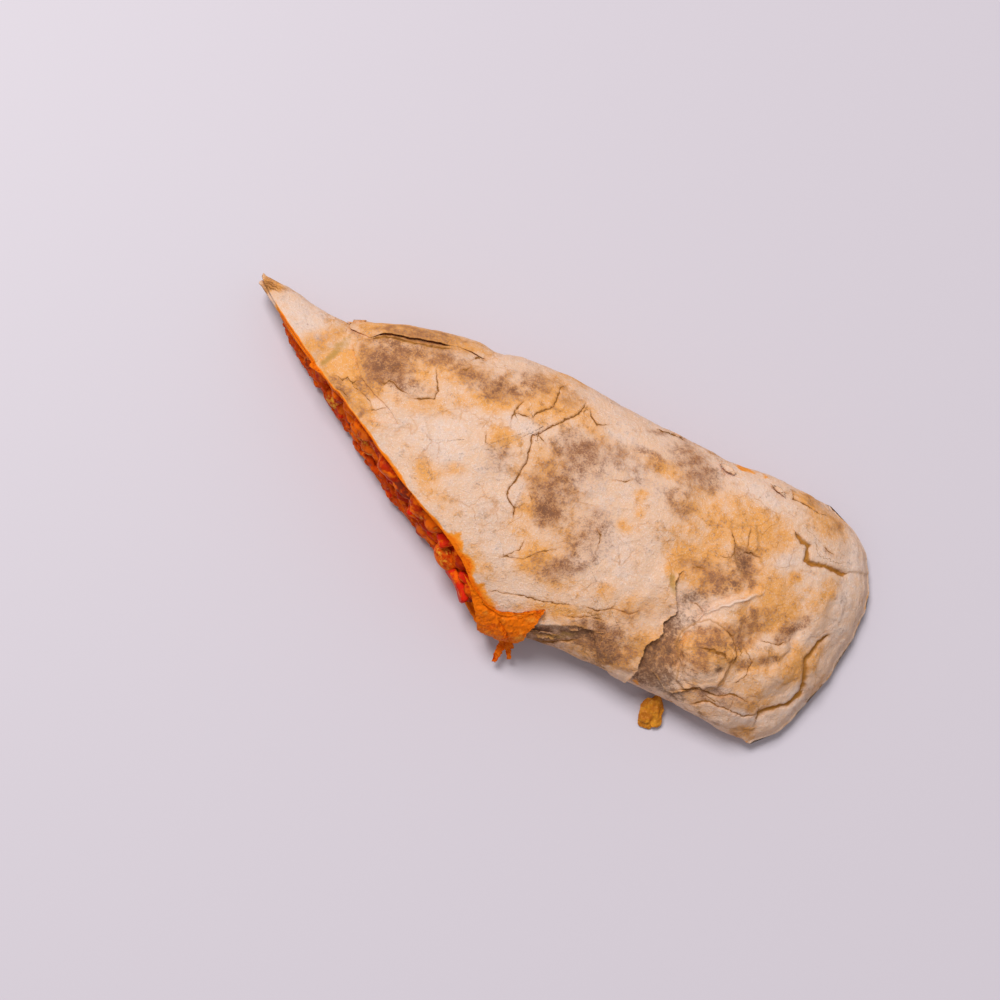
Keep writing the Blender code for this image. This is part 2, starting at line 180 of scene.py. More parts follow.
def lift_at_rest(x, y):
    """How high the underside stands off the table at a place."""
    spots = RESTING_SPOTS
    pressed = [np.exp(-((x - at_x) ** 2 + (y - at_y) ** 2) / reach**2) for at_x, at_y, reach in spots]
    return REST_ARCH * (1 - np.minimum(1, 1.3 * np.max(pressed, axis=0)))


class PhotoCamera:
    """The picture's camera: it places the render's camera and says which pixel shows a point of the roll."""

    def __init__(self):
        lean_x, lean_y = CAMERA_LEAN
        self.back = Vector((lean_x, lean_y, math.sqrt(1 - lean_x**2 - lean_y**2)))
        self.right = (PICTURE_RIGHT - self.back * PICTURE_RIGHT.dot(self.back)).normalized()
        self.up = self.back.cross(self.right)
        self.place = CAMERA_AIM + self.back * CAMERA_DISTANCE
        self.axes = np.array((self.right, self.up, self.back))

    def pixels(self, points):
        offset = (points - np.array(self.place)) @ self.axes.T
        scale = PICTURE_SIDE * CAMERA_DISTANCE / SEEN_WIDTH / -offset[..., 2]
        half = PICTURE_SIDE / 2
        return np.stack((half + scale * offset[..., 0], half - scale * offset[..., 1]), axis=-1)

    def faces_it(self, normals, low=0.02, high=0.3):
        """1 where a surface faces the camera, 0 where it turns away."""
        return ease(low, high, normals @ np.array(self.back))

    def slide(self, normals, step):
        """The move along a surface that the picture shows as this step of pixels."""
        right, up, back = self.axes
        move = MM_PER_PX * (step[:, :1] * right - step[:, 1:] * up)
        facing = np.maximum(normals @ back, 0.25)
        return move - back * ((move * normals).sum(1) / facing)[:, None]


camera = PhotoCamera()


class Roll:
    """The roll's skin as a table of places by the distance along it and the turn round it.

    Turn 0 is the far edge, a quarter the top, a half the near edge and three quarters the underside.
    """

    def __init__(self):
        self.along = np.linspace(ROLL_START, FOLD_END, STATIONS)
        self.turns = np.linspace(0, 1, ROUND_STEPS + 1)
        self.skin = np.array([self.section(x) for x in self.along])
        self.swell_and_press()
        self.normal = self.slopes()
        self.middle = self.skin[:, :-1].mean(axis=1)
        self.cut_x = self.cut_places()
        facing = self.normal @ np.array(camera.back) > 0
        self.seen_pixels = np.where(facing[..., None], camera.pixels(self.skin), np.inf)

    def section(self, x):
        angle = self.turns * 2 * math.pi
        cosine, sine = np.cos(angle), np.sin(angle)
        power = np.where(sine >= 0, 2 / UPPER_POWER, 2 / LOWER_POWER)
        far, near = through(FAR_EDGE, x), through(NEAR_EDGE, x)
        crown, base = through(CROWN, x), through(UNDERSIDE, x)
        waist = base + WAIST * (crown - base)
        rise = np.where(sine >= 0, crown - waist, REST_PRESS * (waist - base))
        y = (far + near) / 2 + (far - near) / 2 * np.sign(cosine) * np.abs(cosine) ** power
        z = np.maximum(waist + rise * np.sign(sine) * np.abs(sine) ** power, base)
        walked = np.concatenate(([0.0], np.cumsum(np.hypot(np.diff(y), np.diff(z)))))
        across = np.interp(self.turns * walked[-1], walked, y)
        up = np.interp(self.turns * walked[-1], walked, z)
        out = x + (through(FOLD_LINE, across) - FOLD_END) * ease(FOLD_BEND_FROM, FOLD_END, x)
        return np.stack((out, across, up), axis=-1)

    def swell_and_press(self):
        out, across, up = self.skin[..., 0], self.skin[..., 1], self.skin[..., 2]
        crown, base = through(CROWN, self.along)[:, None], through(UNDERSIDE, self.along)[:, None]
        waist = base + WAIST * (crown - base)
        full = crown - base > 0.1
        waist = np.where(full, waist, base + 1)
        crown = np.where(full, crown, waist + 1)
        before_end = (1 - ease(FOLD_END - 10, FOLD_END - 1, self.along))[:, None]
        up += full * before_end * swell(out, across) * ease(waist, crown, up)
        up += full * lift_at_rest(out, across) * (1 - ease(base, waist, up))

    def slopes(self):
        by_x = np.gradient(self.skin, axis=0)
        wrapped = np.concatenate((self.skin[:, -2:-1], self.skin, self.skin[:, 1:2]), axis=1)
        by_turn = wrapped[:, 2:] - wrapped[:, :-2]
        return unit(np.cross(by_turn, by_x))

    def read(self, table, x, turn):
        """The table's value at any distance along the roll and any turn round it."""
        i = np.clip((x - ROLL_START) / (FOLD_END - ROLL_START), 0, 1) * (STATIONS - 1)
        j = np.mod(turn, 1.0) * ROUND_STEPS
        low_i = np.minimum(i.astype(int), STATIONS - 2)
        low_j = np.minimum(j.astype(int), ROUND_STEPS - 1)
        a, b = (i - low_i)[..., None], (j - low_j)[..., None]
        return (
            table[low_i, low_j] * (1 - a) * (1 - b)
            + table[low_i + 1, low_j] * a * (1 - b)
            + table[low_i, low_j + 1] * (1 - a) * b
            + table[low_i + 1, low_j + 1] * a * b
        )

    def surface(self, x, turn):
        """The skin's places and normals at any distance along the roll and any turn round it."""
        return self.read(self.skin, x, turn), unit(self.read(self.normal, x, turn))

    def cut_places(self):
        """Where the cut crosses each turn: the distance along the roll at each step round it."""
        places = []
        past = behind_cut(self.skin)
        for j in range(ROUND_STEPS + 1):
            inside = np.nonzero(past[:, j] > 0)[0]
            i = max(inside[0], 1)
            share = past[i - 1, j] / (past[i - 1, j] - past[i, j])
            places.append(self.along[i - 1] + share * (self.along[i] - self.along[i - 1]))
        return np.array(places)

    def cut_at(self, turn, behind):
        """The cut's distance along the roll at a turn, moved that far behind the cut's face."""
        x = np.interp(np.mod(turn, 1.0), self.turns, self.cut_x)
        return x + behind / math.sin(CUT_SLANT)

    def spot(self, pixel):
        """The distance along the roll and the turn that the picture shows at a pixel."""
        away = ((self.seen_pixels - np.array(pixel)) ** 2).sum(axis=-1)
        i, j = np.unravel_index(np.argmin(away), away.shape)
        turn = self.turns[j]
        return self.along[i], turn - 1 if turn > 0.8 else turn


def behind_cut(points):
    """How far behind the slanting cut these points are."""
    x, y, z = points[..., 0], points[..., 1], points[..., 2]
    slope = through(CUT_LINE, x + 0.5) - through(CUT_LINE, x - 0.5)
    out = (through(CUT_LINE, x) - y) / np.sqrt(1 + slope**2)
    return (through(CROWN, x) / 2 - z) * np.tan(np.radians(through(CUT_LEAN, x))) - out


roll = Roll()

# What the picture shows pressed into, raised from and baked on the bread

# Cracks: the line, its half width and depth in millimetres, and how far the side on its right is lifted
CRACKS_PX = (
    (
        (586, 401), (585, 407), (577.5, 414.6), (563, 421), (554, 425.4), (541, 432.8), (532.5, 435.3),
        (530.2, 449), (527, 461), (519.4, 474), (514.4, 482.6), (507.5, 490), (508.6, 498.3), (514.4, 509),
        (513, 518), 0.22, 0.5, 0.25,
    ),
    ((566.7, 385.6), (561, 388), (553.4, 406.3), (544.3, 410.4), (536, 413), (533, 419), 0.16, 0.35, 0.2),
    ((524.4, 400.5), (514.4, 411.3), (511, 421), 0.19, 0.4, 0.2), ((517, 413), (531, 418), 0.16, 0.3, 0.3),
    (
        (435.7, 369), (437.3, 380), (438, 391), (434.8, 398.8), (425, 398.8), (411.6, 398.8), 0.16, 0.35,
        0.15,
    ),
    ((460.5, 369.8), (466.3, 369.8), (471.3, 366.8), 0.17, 0.3, 0.1),
    ((469.7, 360.7), (478, 356.5), (486, 359.9), 0.14, 0.25, 0.1),
    ((589, 408), (593, 419.6), (597.3, 425.4), (609, 424.5), 0.2, 0.35, 0.2),
    ((537.6, 432.8), (546, 444.4), 0.13, 0.25, 0), ((529.4, 493.4), (532.7, 504), 0.17, 0.3, 0.1),
    ((524.4, 504), (516, 508.3), 0.12, 0.25, 0.1),
    ((486.2, 432), (485.4, 442.8), (489.6, 445.3), 0.11, 0.2, 0),
    (
        (377.6, 379.4), (384.3, 384.4), (388.4, 380.2), (394, 382.7), (401, 391), (409, 394.3), 0.13, 0.25,
        0.1,
    ),
    ((369.4, 410), (377.6, 410), (387.6, 407.6), 0.09, 0.15, 0),
    (
        (488.7, 591), (497.8, 591.2), (506, 593.7), (519.4, 595.4), (532.7, 599), (549, 602.8),
        (572.5, 605.3), 0.12, 0.25, 0.1,
    ),
    ((524.4, 539.8), (519.4, 549.8), (499.5, 558), 0.08, 0.15, 0),
    ((792.5, 493), (793.3, 499.6), (807.4, 506.2), (815.7, 512), (825.6, 517.8), 0.2, 0.4, 0.3),
    (
        (794, 531), (802.4, 542), (809, 546), (807.4, 552.7), (806.5, 560), (812.4, 564.3), (825.6, 566),
        (842.2, 574.2), (849.7, 572.5), 0.65, 1.3, 0.3,
    ),
    ((751, 526), (748.5, 539.4), (747, 551), 0.07, 0.2, 0.2),
    ((759.3, 556.8), (751, 553), (744.4, 552.7), 0.12, 0.3, 0.4),
    ((731, 530.3), (734.4, 542.7), (734.4, 552.7), (730, 558), 0.12, 0.3, 0.4),
    ((721, 556), (729.5, 558.5), 0.12, 0.2, 0.1), ((774.2, 557.6), (776, 562), 0.14, 0.25, 0),
    ((823, 546), (827, 551), (835, 556), 0.18, 0.25, 0),
    ((690.5, 603), (697, 604), (703, 610.7), 0.12, 0.2, 0),
    ((690, 568), (698, 567), (706, 569), 0.14, 0.2, 0),
    ((723.5, 628.8), (731, 636.3), (734.3, 646.2), (735.2, 652.9), (733, 664), 0.38, 0.8, 1),
    ((702, 647.9), (712.8, 650.4), (722.7, 654.5), (726, 659.5), 0.34, 0.7, 0.7),
    ((668, 699.3), (679.6, 709.2), (699.5, 722.5), 0.29, 0.4, 0.2),
    (
        (830.5, 633.8), (819, 643), (812.3, 652.9), (805.7, 660), (805.7, 668), (804.8, 679.4),
        (800.7, 692.7), (789, 704.3), (774, 708.4), (762.5, 711.7), (754.2, 719.2), 0.65, 1.2, 0.5,
    ),
    ((657, 429), (670, 433), (684, 439.5), 0.22, 0.3, 0.3),
    ((338, 376), (342, 381), (347, 377), (352, 383), (358, 380), 0.1, 0.2, 0.1),
    ((331, 392), (338, 389), (346, 394), (351, 401), 0.08, 0.2, 0.1),
    ((352, 385), (361, 392), (370, 401), (372, 408), 0.09, 0.2, 0),
    ((500, 556), (523, 559), (540, 552), (556, 549), 0.07, 0.15, 0),
    ((596, 528), (601, 536), (597, 549), 0.07, 0.15, 0),
    ((612, 480), (624, 482), (633, 479), 0.08, 0.2, 0.1),
    ((679, 690), (700, 688), (716, 696), (735, 694), (748, 702), 0.14, 0.3, 0.5),
    ((690, 704), (706, 700), (726, 708), (744, 716), (756, 713), 0.14, 0.3, 0.45),
    ((744, 648), (752, 662), (747, 676), (733, 684), 0.1, 0.2, 0.2),
    ((760, 640), (778, 645), (790, 640), 0.1, 0.2, 0.2),
    ((583, 606), (597, 611), (612, 608), (628, 614), (640, 611), 0.1, 0.25, 0.3),
    ((560, 615), (575, 618), (590, 616), (604, 621), 0.1, 0.25, 0.3),
    ((533, 641), (548, 643), (563, 641), (578, 640), 0.22, 0.5, 0.3),
    ((772, 486), (779, 492), (786, 493), 0.14, 0.3, 0.3),
    ((370, 339), (384, 336.5), (398, 339), (416, 343.5), (436, 347), (452, 349), 0.35, 0, 0),
    ((263, 280), (271, 282), (284, 289), 0.14, 0.2, 0.2),
    ((264, 284), (271, 288), (280, 292), 0.14, 0.2, 0),
    ((497, 617), (501, 626), (506, 634), (509, 641), 0.3, 0.9, 0.7),
    ((483, 604), (492, 612), (505, 618), (522, 617), 0.2, 0.4, 0.5),
)

# Ridges that stand up: the line, its half width and its height in millimetres
RIDGES_PX = (
    ((698, 619), (716, 609), (738, 600), (760, 592), 0.6, 0.8),
    ((702, 611), (716, 602), (738, 593), (756, 585), 1.1, -0.6),
    ((704, 625), (722, 616), (745, 607), 1.5, -0.4),
    ((690, 632), (682, 645), (679, 662), (684, 679), (696, 687), 0.8, -0.9),
    ((704, 630), (716, 634), (722, 642), 0.9, -0.5),
    ((733, 655), (752, 652), (775, 655), (785, 645), 1.5, 0.6),
    ((745, 640), (762, 634), (782, 622), 1.6, -0.45),
    ((740, 672), (765, 668), (790, 650), (800, 630), 1.5, -0.6),
    ((760, 690), (785, 672), (800, 650), 1.8, 0.6), ((640, 600), (655, 590), (672, 560), 2.2, 0.4),
    ((470, 356), (500, 365), (540, 372), 1.5, -0.25), ((822, 600), (818, 622), (806, 640), 1.6, 0.45),
    ((790, 590), (800, 602), (802, 618), 1.3, -0.35), ((676, 640), (679, 655), (674, 672), 1.2, -0.6),
    ((700, 566), (722, 572), (745, 584), 1.6, -0.35), ((655, 640), (650, 655), (652, 672), 1.2, 0.6),
    ((600, 650), (615, 662), (632, 668), 1.3, 0.5), ((590, 640), (610, 645), (634, 650), 1.1, -0.5),
)

# Rounded swellings: the middle, the reach in pixels and the height in millimetres
BUMPS_PX = (
    (706, 660, 20, 1.5), (718, 636, 11, 0.6), (718, 670, 5, -1.1), (668, 690, 10, -0.5),
    (770, 625, 18, 0.5), (805, 622, 16, 0.5), (690, 600, 9, -0.6), (655, 655, 14, -0.5),
    (735, 700, 12, 0.5), (760, 700, 10, -0.4), (752, 565, 9, -0.6), (820, 600, 14, 0.4),
    (523, 424, 9, -0.35), (430, 385, 22, 0.4), (740, 536, 7, 0.3), (580, 430, 16, 0.35),
    (500, 480, 18, -0.3), (610, 560, 30, 0.4), (535, 641, 3.5, -0.9), (800, 540, 12, 0.3),
    (545, 560, 16, 0.25), (640, 500, 24, 0.3),
)

# Raised or sunk plates of crust: the outline, how soft its step is and how high it stands, in millimetres
PLATES_PX = (
    (
        (676, 641), (684, 630), (697, 623), (710, 620), (722, 627), (731, 637), (735, 652), (729, 661),
        (727, 669), (722, 678), (717, 686), (700, 687), (684, 686), (676, 679), (681, 664), (678, 652),
        0.55, 0.9,
    ),
    (
        (681, 652), (690, 647), (700, 647), (712, 651), (721, 655), (724, 661), (724, 670), (718, 678),
        (702, 683), (684, 680), (683, 664), 0.3, -0.3,
    ),
    (
        (731, 524), (744, 527), (757, 525), (757, 538), (758, 550), (746, 553), (735, 556), (733, 540),
        0.25, 0.4,
    ),
    ((735, 546), (745, 551), (760, 556), (765, 566), (757, 575), (742, 575), (736, 561), 0.3, -0.5),
    (
        (800, 538), (807, 549), (804, 559), (812, 561), (822, 566), (832, 569), (850, 571), (890, 578),
        (885, 530), (850, 508), (822, 512), (799, 526), 0.3, 0.4,
    ),
    ((786, 490), (806, 500), (830, 518), (842, 534), (826, 527), (812, 515), (796, 505), 0.25, 0.3),
    ((698, 701), (722, 698), (745, 706), (758, 714), (752, 730), (727, 727), (702, 717), 0.3, 0.35),
    ((664, 694), (681, 692), (696, 697), (700, 716), (684, 709), (668, 700), 0.3, 0.3),
    ((770, 655), (790, 648), (802, 655), (800, 676), (784, 684), (768, 676), 0.25, 0.25),
    ((425, 418), (447, 410), (466, 420), (470, 441), (455, 452), (432, 447), 0.25, -0.16),
    ((476, 505), (497, 500), (509, 514), (503, 530), (484, 532), 0.25, -0.16),
    ((498, 447), (519, 441), (524, 462), (514, 476), (500, 470), 0.25, 0.16),
    ((604, 480), (628, 474), (640, 490), (634, 510), (612, 508), 0.25, 0.14),
    ((617, 545), (640, 540), (650, 560), (641, 582), (622, 580), 0.25, -0.14),
    ((660, 500), (684, 508), (700, 526), (690, 545), (668, 530), 0.25, 0.16),
    ((570, 596), (600, 590), (618, 598), (610, 611), (580, 610), 0.25, 0.2),
    ((535, 376), (560, 383), (574, 398), (556, 403), (538, 392), 0.2, 0.2),
    ((364, 388), (382, 396), (392, 412), (378, 414), (366, 402), 0.2, 0.15),
    ((820, 590), (836, 582), (846, 600), (840, 622), (824, 616), 0.25, 0.2),
    ((790, 700), (806, 686), (812, 668), (820, 680), (812, 700), (797, 712), 0.25, 0.25),
)

# Toasted patches, and painted shade along the near side and left of the blister: the middle, half length and
# half width in pixels, the turn in degrees, and the strength
TOAST_AND_SHADE_PX = (
    (386, 366, 28, 18, 20, 1), (410, 388, 24, 12, 20, 0.4), (420, 352, 56, 13, 12, 0.6),
    (430, 334, 44, 8, 12, 0.45), (368, 390, 14, 11, 40, 0.5), (478, 380, 34, 14, 18, 0.5),
    (500, 391, 22, 10, 10, 0.6), (535, 385, 24, 13, 25, 0.55), (572, 400, 18, 12, 35, 0.3),
    (582, 452, 32, 19, 30, 0.6), (560, 480, 28, 24, 10, 0.45), (498, 457, 14, 22, 10, 0.42),
    (547, 508, 17, 17, 20, 1), (565, 530, 34, 30, 60, 0.2), (590, 470, 44, 34, 40, 0.16),
    (540, 490, 26, 20, 40, 0.28), (531, 562, 15, 13, 10, 0.22), (559, 571, 24, 12, -8, 0.8),
    (640, 470, 50, 18, 38, 0.3), (588, 545, 28, 20, -15, 0.4), (600, 520, 20, 14, 0, 0.3),
    (690, 458, 28, 15, 32, 0.55), (650, 455, 24, 9, 30, 0.35), (705, 480, 24, 15, 30, 0.5),
    (680, 500, 16, 18, 0, 0.35), (690, 516, 16, 10, 0, 0.25), (742, 556, 12, 10, 10, 0.6),
    (700, 566, 26, 8, 10, 0.5), (728, 582, 34, 14, -12, 0.6), (752, 622, 26, 13, -28, 0.55),
    (735, 640, 16, 12, 0, 0.6), (788, 632, 20, 9, -35, 0.65), (806, 620, 12, 9, -20, 0.35),
    (748, 566, 11, 14, -20, 0.6), (760, 662, 24, 8, -10, 0.6), (692, 662, 20, 12, 30, 0.6),
    (708, 650, 14, 10, 0, 0.45), (708, 634, 18, 10, 5, 0.6), (655, 655, 26, 30, 30, 0.75),
    (672, 622, 12, 16, 20, 0.55), (625, 660, 34, 14, 25, 0.8), (610, 645, 40, 10, 8, 0.7),
    (730, 700, 36, 12, 10, 0.35), (700, 692, 24, 7, 0, 0.3), (742, 735, 14, 9, 10, 0.4),
    (836, 530, 8, 9, 40, 0.45), (827, 551, 8, 4, 30, 0.5), (815, 500, 14, 6, 35, 0.35),
    (600, 632, 44, 12, 8, 0.7), (545, 636, 30, 9, 5, 0.85), (640, 615, 22, 14, 5, 0.5),
    (267, 286, 10, 7, 30, 0.45), (355, 330, 12, 5, 20, 0.25), (400, 333, 24, 4, 12, 0.35),
    (340, 390, 22, 9, 45, 0.5), (360, 415, 20, 8, 50, 0.35), (657, 432, 10, 3, 20, 0.5),
)

# Golden patches, in the same form
TAN_PX = (
    (345, 372, 26, 34, 35, 0.7), (272, 284, 15, 8, 28, 1), (312, 338, 14, 9, 45, 0.5),
    (400, 362, 62, 26, 15, 0.6), (420, 334, 70, 10, 12, 0.9), (330, 352, 24, 9, -35, 0.25),
    (455, 372, 50, 16, 15, 0.6), (368, 388, 20, 16, 30, 0.9), (432, 486, 52, 16, 55, 0.45),
    (475, 490, 20, 14, 0, 0.3), (338, 395, 30, 14, 55, 0.75), (365, 412, 24, 12, 45, 0.7),
    (318, 345, 22, 12, 40, 0.5), (328, 330, 22, 14, 10, 0.4), (410, 335, 36, 7, 12, 0.8),
    (400, 400, 26, 10, 30, 0.5), (430, 408, 20, 12, 15, 0.65), (470, 400, 22, 10, 15, 0.4),
    (455, 470, 16, 9, 0, 0.75), (430, 470, 12, 16, -30, 0.35), (500, 400, 26, 15, 15, 0.75),
    (545, 400, 36, 24, 30, 0.75), (590, 425, 26, 16, 40, 0.65), (498, 437, 20, 12, 0, 0.75),
    (540, 465, 28, 26, 30, 0.55), (528, 505, 14, 13, 0, 0.8), (533, 560, 22, 19, 0, 1),
    (560, 520, 40, 34, 60, 0.45), (830, 600, 14, 26, 10, 0.4), (815, 650, 12, 26, 20, 0.5),
    (497, 577, 10, 7, 0, 0.55), (480, 560, 14, 20, -40, 0.35), (520, 530, 16, 10, 30, 0.45),
    (560, 585, 34, 12, 5, 0.45), (560, 612, 50, 12, 4, 0.7), (624, 527, 10, 9, 0, 0.85),
    (607, 590, 10, 9, 0, 0.65), (642, 493, 8, 8, 0, 0.8), (640, 512, 7, 10, 0, 0.45),
    (650, 455, 32, 11, 30, 0.5), (720, 525, 58, 36, 20, 0.72), (690, 565, 30, 22, 0, 0.8),
    (740, 580, 42, 20, -10, 0.7), (770, 540, 28, 20, 0, 0.75), (668, 470, 18, 11, 20, 0.6),
    (793, 580, 9, 8, 0, 0.75), (830, 585, 9, 12, 0, 0.55), (828, 528, 24, 15, 40, 0.7),
    (805, 500, 20, 9, 30, 0.65), (770, 615, 52, 28, -28, 0.8), (720, 650, 28, 24, 0, 0.75),
    (692, 650, 24, 20, 0, 0.7), (322, 338, 20, 9, -22, 0.95), (765, 665, 32, 16, -10, 0.7),
    (740, 700, 40, 20, 0, 0.65), (700, 690, 26, 12, 0, 0.7), (795, 668, 16, 26, 30, 0.75),
    (815, 690, 12, 20, 30, 0.55), (655, 650, 30, 26, 30, 0.7), (600, 650, 44, 18, 15, 0.8),
    (640, 605, 34, 18, 0, 0.6), (640, 560, 14, 34, 0, 0.35), (745, 733, 18, 9, 10, 0.7),
    (575, 380, 22, 9, 25, 0.55),
)

# Pale floury patches, and painted light on the fold end and on the crests of the pinch ridge and the flap's
# lip, in the same form
PALE_AND_LIT_PX = (
    (305, 316, 30, 20, 35, 0.9), (600, 492, 18, 22, 10, 0.6), (440, 440, 44, 26, 35, 0.85),
    (523, 425, 15, 9, 20, 1), (470, 500, 28, 22, 40, 0.5), (516, 492, 9, 16, 20, 0.8),
    (500, 550, 26, 12, 0, 0.5), (640, 480, 26, 12, 30, 0.5), (620, 560, 26, 30, 0, 0.55),
    (650, 575, 12, 40, 0, 0.5), (628, 440, 30, 7, 28, 0.8), (760, 492, 34, 9, 35, 0.85),
    (788, 562, 14, 12, 0, 0.8), (840, 605, 10, 30, 10, 0.7), (730, 603, 30, 1.6, -21, 1),
    (765, 640, 12, 7, -30, 0.6), (720, 697, 26, 10, 5, 0.7), (740, 716, 26, 6, 0, 0.7),
    (815, 640, 10, 20, 30, 0.7), (855, 560, 8, 24, 10, 0.6), (720, 690, 24, 5, 10, 0.7),
    (735, 712, 26, 6, 20, 0.8), (848, 590, 8, 40, 8, 0.8), (300, 326, 22, 12, 40, 0.5),
    (800, 700, 12, 26, 35, 0.8),
)

# Dark brown layers below the last turn and scorched edges, and painted shade beside the torn edge, left of
# the blister, in its cracks and along the near side, in the same form
DARK_AND_SHADE_PX = (
    (268, 287, 8, 3, 28, 0.5), (357, 316, 10, 3, 8, 0.8), (386, 366, 14, 9, 20, 0.25),
    (548, 508, 8, 8, 20, 0.3), (655, 655, 18, 30, 20, 0.55), (729, 639, 3, 11, -22, 0.75),
    (714, 653, 12, 3, 22, 0.75), (718, 669, 5, 6, 0, 0.7), (354, 337, 9, 6, 0, 0.35),
    (672, 625, 14, 18, 20, 0.55), (692, 598, 16, 14, -30, 0.45), (700, 615, 12, 6, -30, 0.5),
    (662, 676, 26, 12, 10, 0.75), (615, 658, 34, 14, 18, 0.65), (570, 636, 34, 9, 6, 0.7),
    (536, 640, 12, 4, 5, 0.9), (600, 672, 30, 8, 28, 0.4), (722, 655, 8, 16, 20, 0.3),
    (670, 692, 18, 6, 30, 0.6), (700, 710, 34, 4, 32, 0.3), (746, 566, 9, 12, -20, 0.45),
    (735, 586, 30, 5, -22, 0.3), (756, 650, 20, 8, -10, 0.3),
)

# Where sauce has soaked in, in the same form
STAIN_PX = (
    (464, 583, 7, 24, -15, 1), (455, 562, 5, 20, -25, 0.8), (440, 535, 3, 16, -25, 0.5),
    (484, 607, 12, 10, 0, 0.9), (744, 468.5, 15, 2.5, 24, 0.55), (766, 477, 12, 2, 28, 0.25),
    (705, 727, 4, 3, 0, 0.7), (740, 741, 12, 3, 10, 0.5), (636, 682, 6, 3, 20, 0.4),
)

# The olive tan of soft inner bread, darkened as painted shade in the recesses where it shows: in the cracks
# by the fold and under the first turn by the tip, and in folds along the near side
OLIVE_AND_SHADE_PX = (
    (329, 357, 15, 5, -40, 0.75), (345, 344, 14, 6, -40, 0.8), (674, 584, 4, 16, 0, 0.9),
    (558, 635, 26, 4, 4, 0.6), (685, 712, 22, 4, 30, 0.5), (806, 665, 5, 26, 8, 0.4),
)


def patches(pixels, spots):
    """How strongly a set of soft patches covers these pixels, from 0 to 1."""
    bare = np.ones(len(pixels))
    for x, y, long_half, wide_half, angle, strength in spots:
        turn = math.radians(angle)
        right, down = pixels[:, 0] - x, pixels[:, 1] - y
        along = (right * math.cos(turn) + down * math.sin(turn)) / long_half
        across = (down * math.cos(turn) - right * math.sin(turn)) / wide_half
        bare *= 1 - strength * np.exp(-((along**2 + across**2) ** 1.3))
    return 1 - bare


def nearest_on(line, pixels):
    """How far each pixel is from a line, the way to it, its side, and how near the line's ends it is."""
    best = np.full(len(pixels), np.inf)
    way = np.zeros_like(pixels)
    side = np.zeros(len(pixels))
    to_end = np.zeros(len(pixels))
    line = np.array(line, float)
    lengths = np.hypot(*np.diff(line, axis=0).T)
    walked = np.concatenate(([0.0], np.cumsum(lengths)))
    for number, (start, end) in enumerate(zip(line[:-1], line[1:])):
        along = end - start
        share = np.clip((pixels - start) @ along / (along @ along), 0, 1)
        to_line = start + share[:, None] * along - pixels
        distance = np.hypot(*to_line.T)
        closer = distance < best
        best[closer] = distance[closer]
        way[closer] = to_line[closer]
        side[closer] = np.sign(along[1] * to_line[closer, 0] - along[0] * to_line[closer, 1])
        at = walked[number] + share[closer] * lengths[number]
        to_end[closer] = np.minimum(at, walked[-1] - at)
    return best, way, side, to_end


def inside(outline, pixels):
    """Which pixels lie inside a closed outline."""
    found = np.zeros(len(pixels), bool)
    for (x0, y0), (x1, y1) in zip(outline, (*outline[1:], outline[0])):
        if y0 != y1:
            crosses = (y0 > pixels[:, 1]) != (y1 > pixels[:, 1])
            found ^= crosses & (pixels[:, 0] < x0 + (x1 - x0) * (pixels[:, 1] - y0) / (y1 - y0))
    return found


# Baked colours together with painted shade and painted light, by the mark that each table feeds
FINISHES_AND_PAINTED_LIGHT_PX = {"toast_and_shade": TOAST_AND_SHADE_PX, "golden": TAN_PX, "pale": PALE_AND_LIT_PX, "dark": DARK_AND_SHADE_PX, "olive": OLIVE_AND_SHADE_PX}
# How far from a crack the surface knows of it, how far its corners are gathered to it, and its tapered ends
CRACK_REACH = 3.0
GATHER_REACH = 1.7
CRACK_TAPER = 2.2
PLATE_MARGIN_PX = 12


def close_to(line, pixels, margin, seen):
    """Which of the seen pixels lie within a margin of a line's own box."""
    low, high = np.min(line, axis=0) - margin, np.max(line, axis=0) + margin
    return np.nonzero(((pixels > low) & (pixels < high)).all(axis=1) & (seen > 0))[0]


def press_cracks(points, pixels, seen, height):
    """Presses the cracks into these heights.

    Gives each point's way to its crack, its distance with the sign of its side, and the crack's width.
    """
    gather = np.zeros((len(points), 2))
    nearest = np.full(len(points), CRACK_REACH)
    width = np.zeros(len(points))
    for *line, half_width, depth, lift in CRACKS_PX:
        near = close_to(line, pixels, CRACK_REACH / MM_PER_PX, seen)
        if not len(near):
            continue
        drift = 0.35 * shake(points[near], 1.4, 1.3, 5.9) + 0.2 * shake(points[near], 0.6, 2.3, 6.9)
        away, way, side, to_end = nearest_on(line, pixels[near] + drift / MM_PER_PX)
        share = np.clip(away * MM_PER_PX / GATHER_REACH, 0, 1) ** 0.7
        distance = away * MM_PER_PX * share
        closer = distance < np.abs(nearest[near])
        gather[near[closer]] = (way * ((1 - share) * seen[near])[:, None])[closer]
        nearest[near[closer]] = (distance * np.where(side == 0, 1, side))[closer]
        ends = ease(0, CRACK_TAPER, to_end * MM_PER_PX)
        taper = ends * (1 + 0.7 * ripple(points[near], 2.2, half_width * 9))
        width[near[closer]] = (half_width * taper)[closer]
        groove = np.exp(-((distance / (half_width + 0.06)) ** 2)) * ends
        rise = lift * np.exp(-distance / 1.8) * (side > 0) * ends
        height[near] += np.where(closer, rise * (1 - groove) - 0.65 * depth * groove, 0) * seen[near]
    return gather, nearest, width


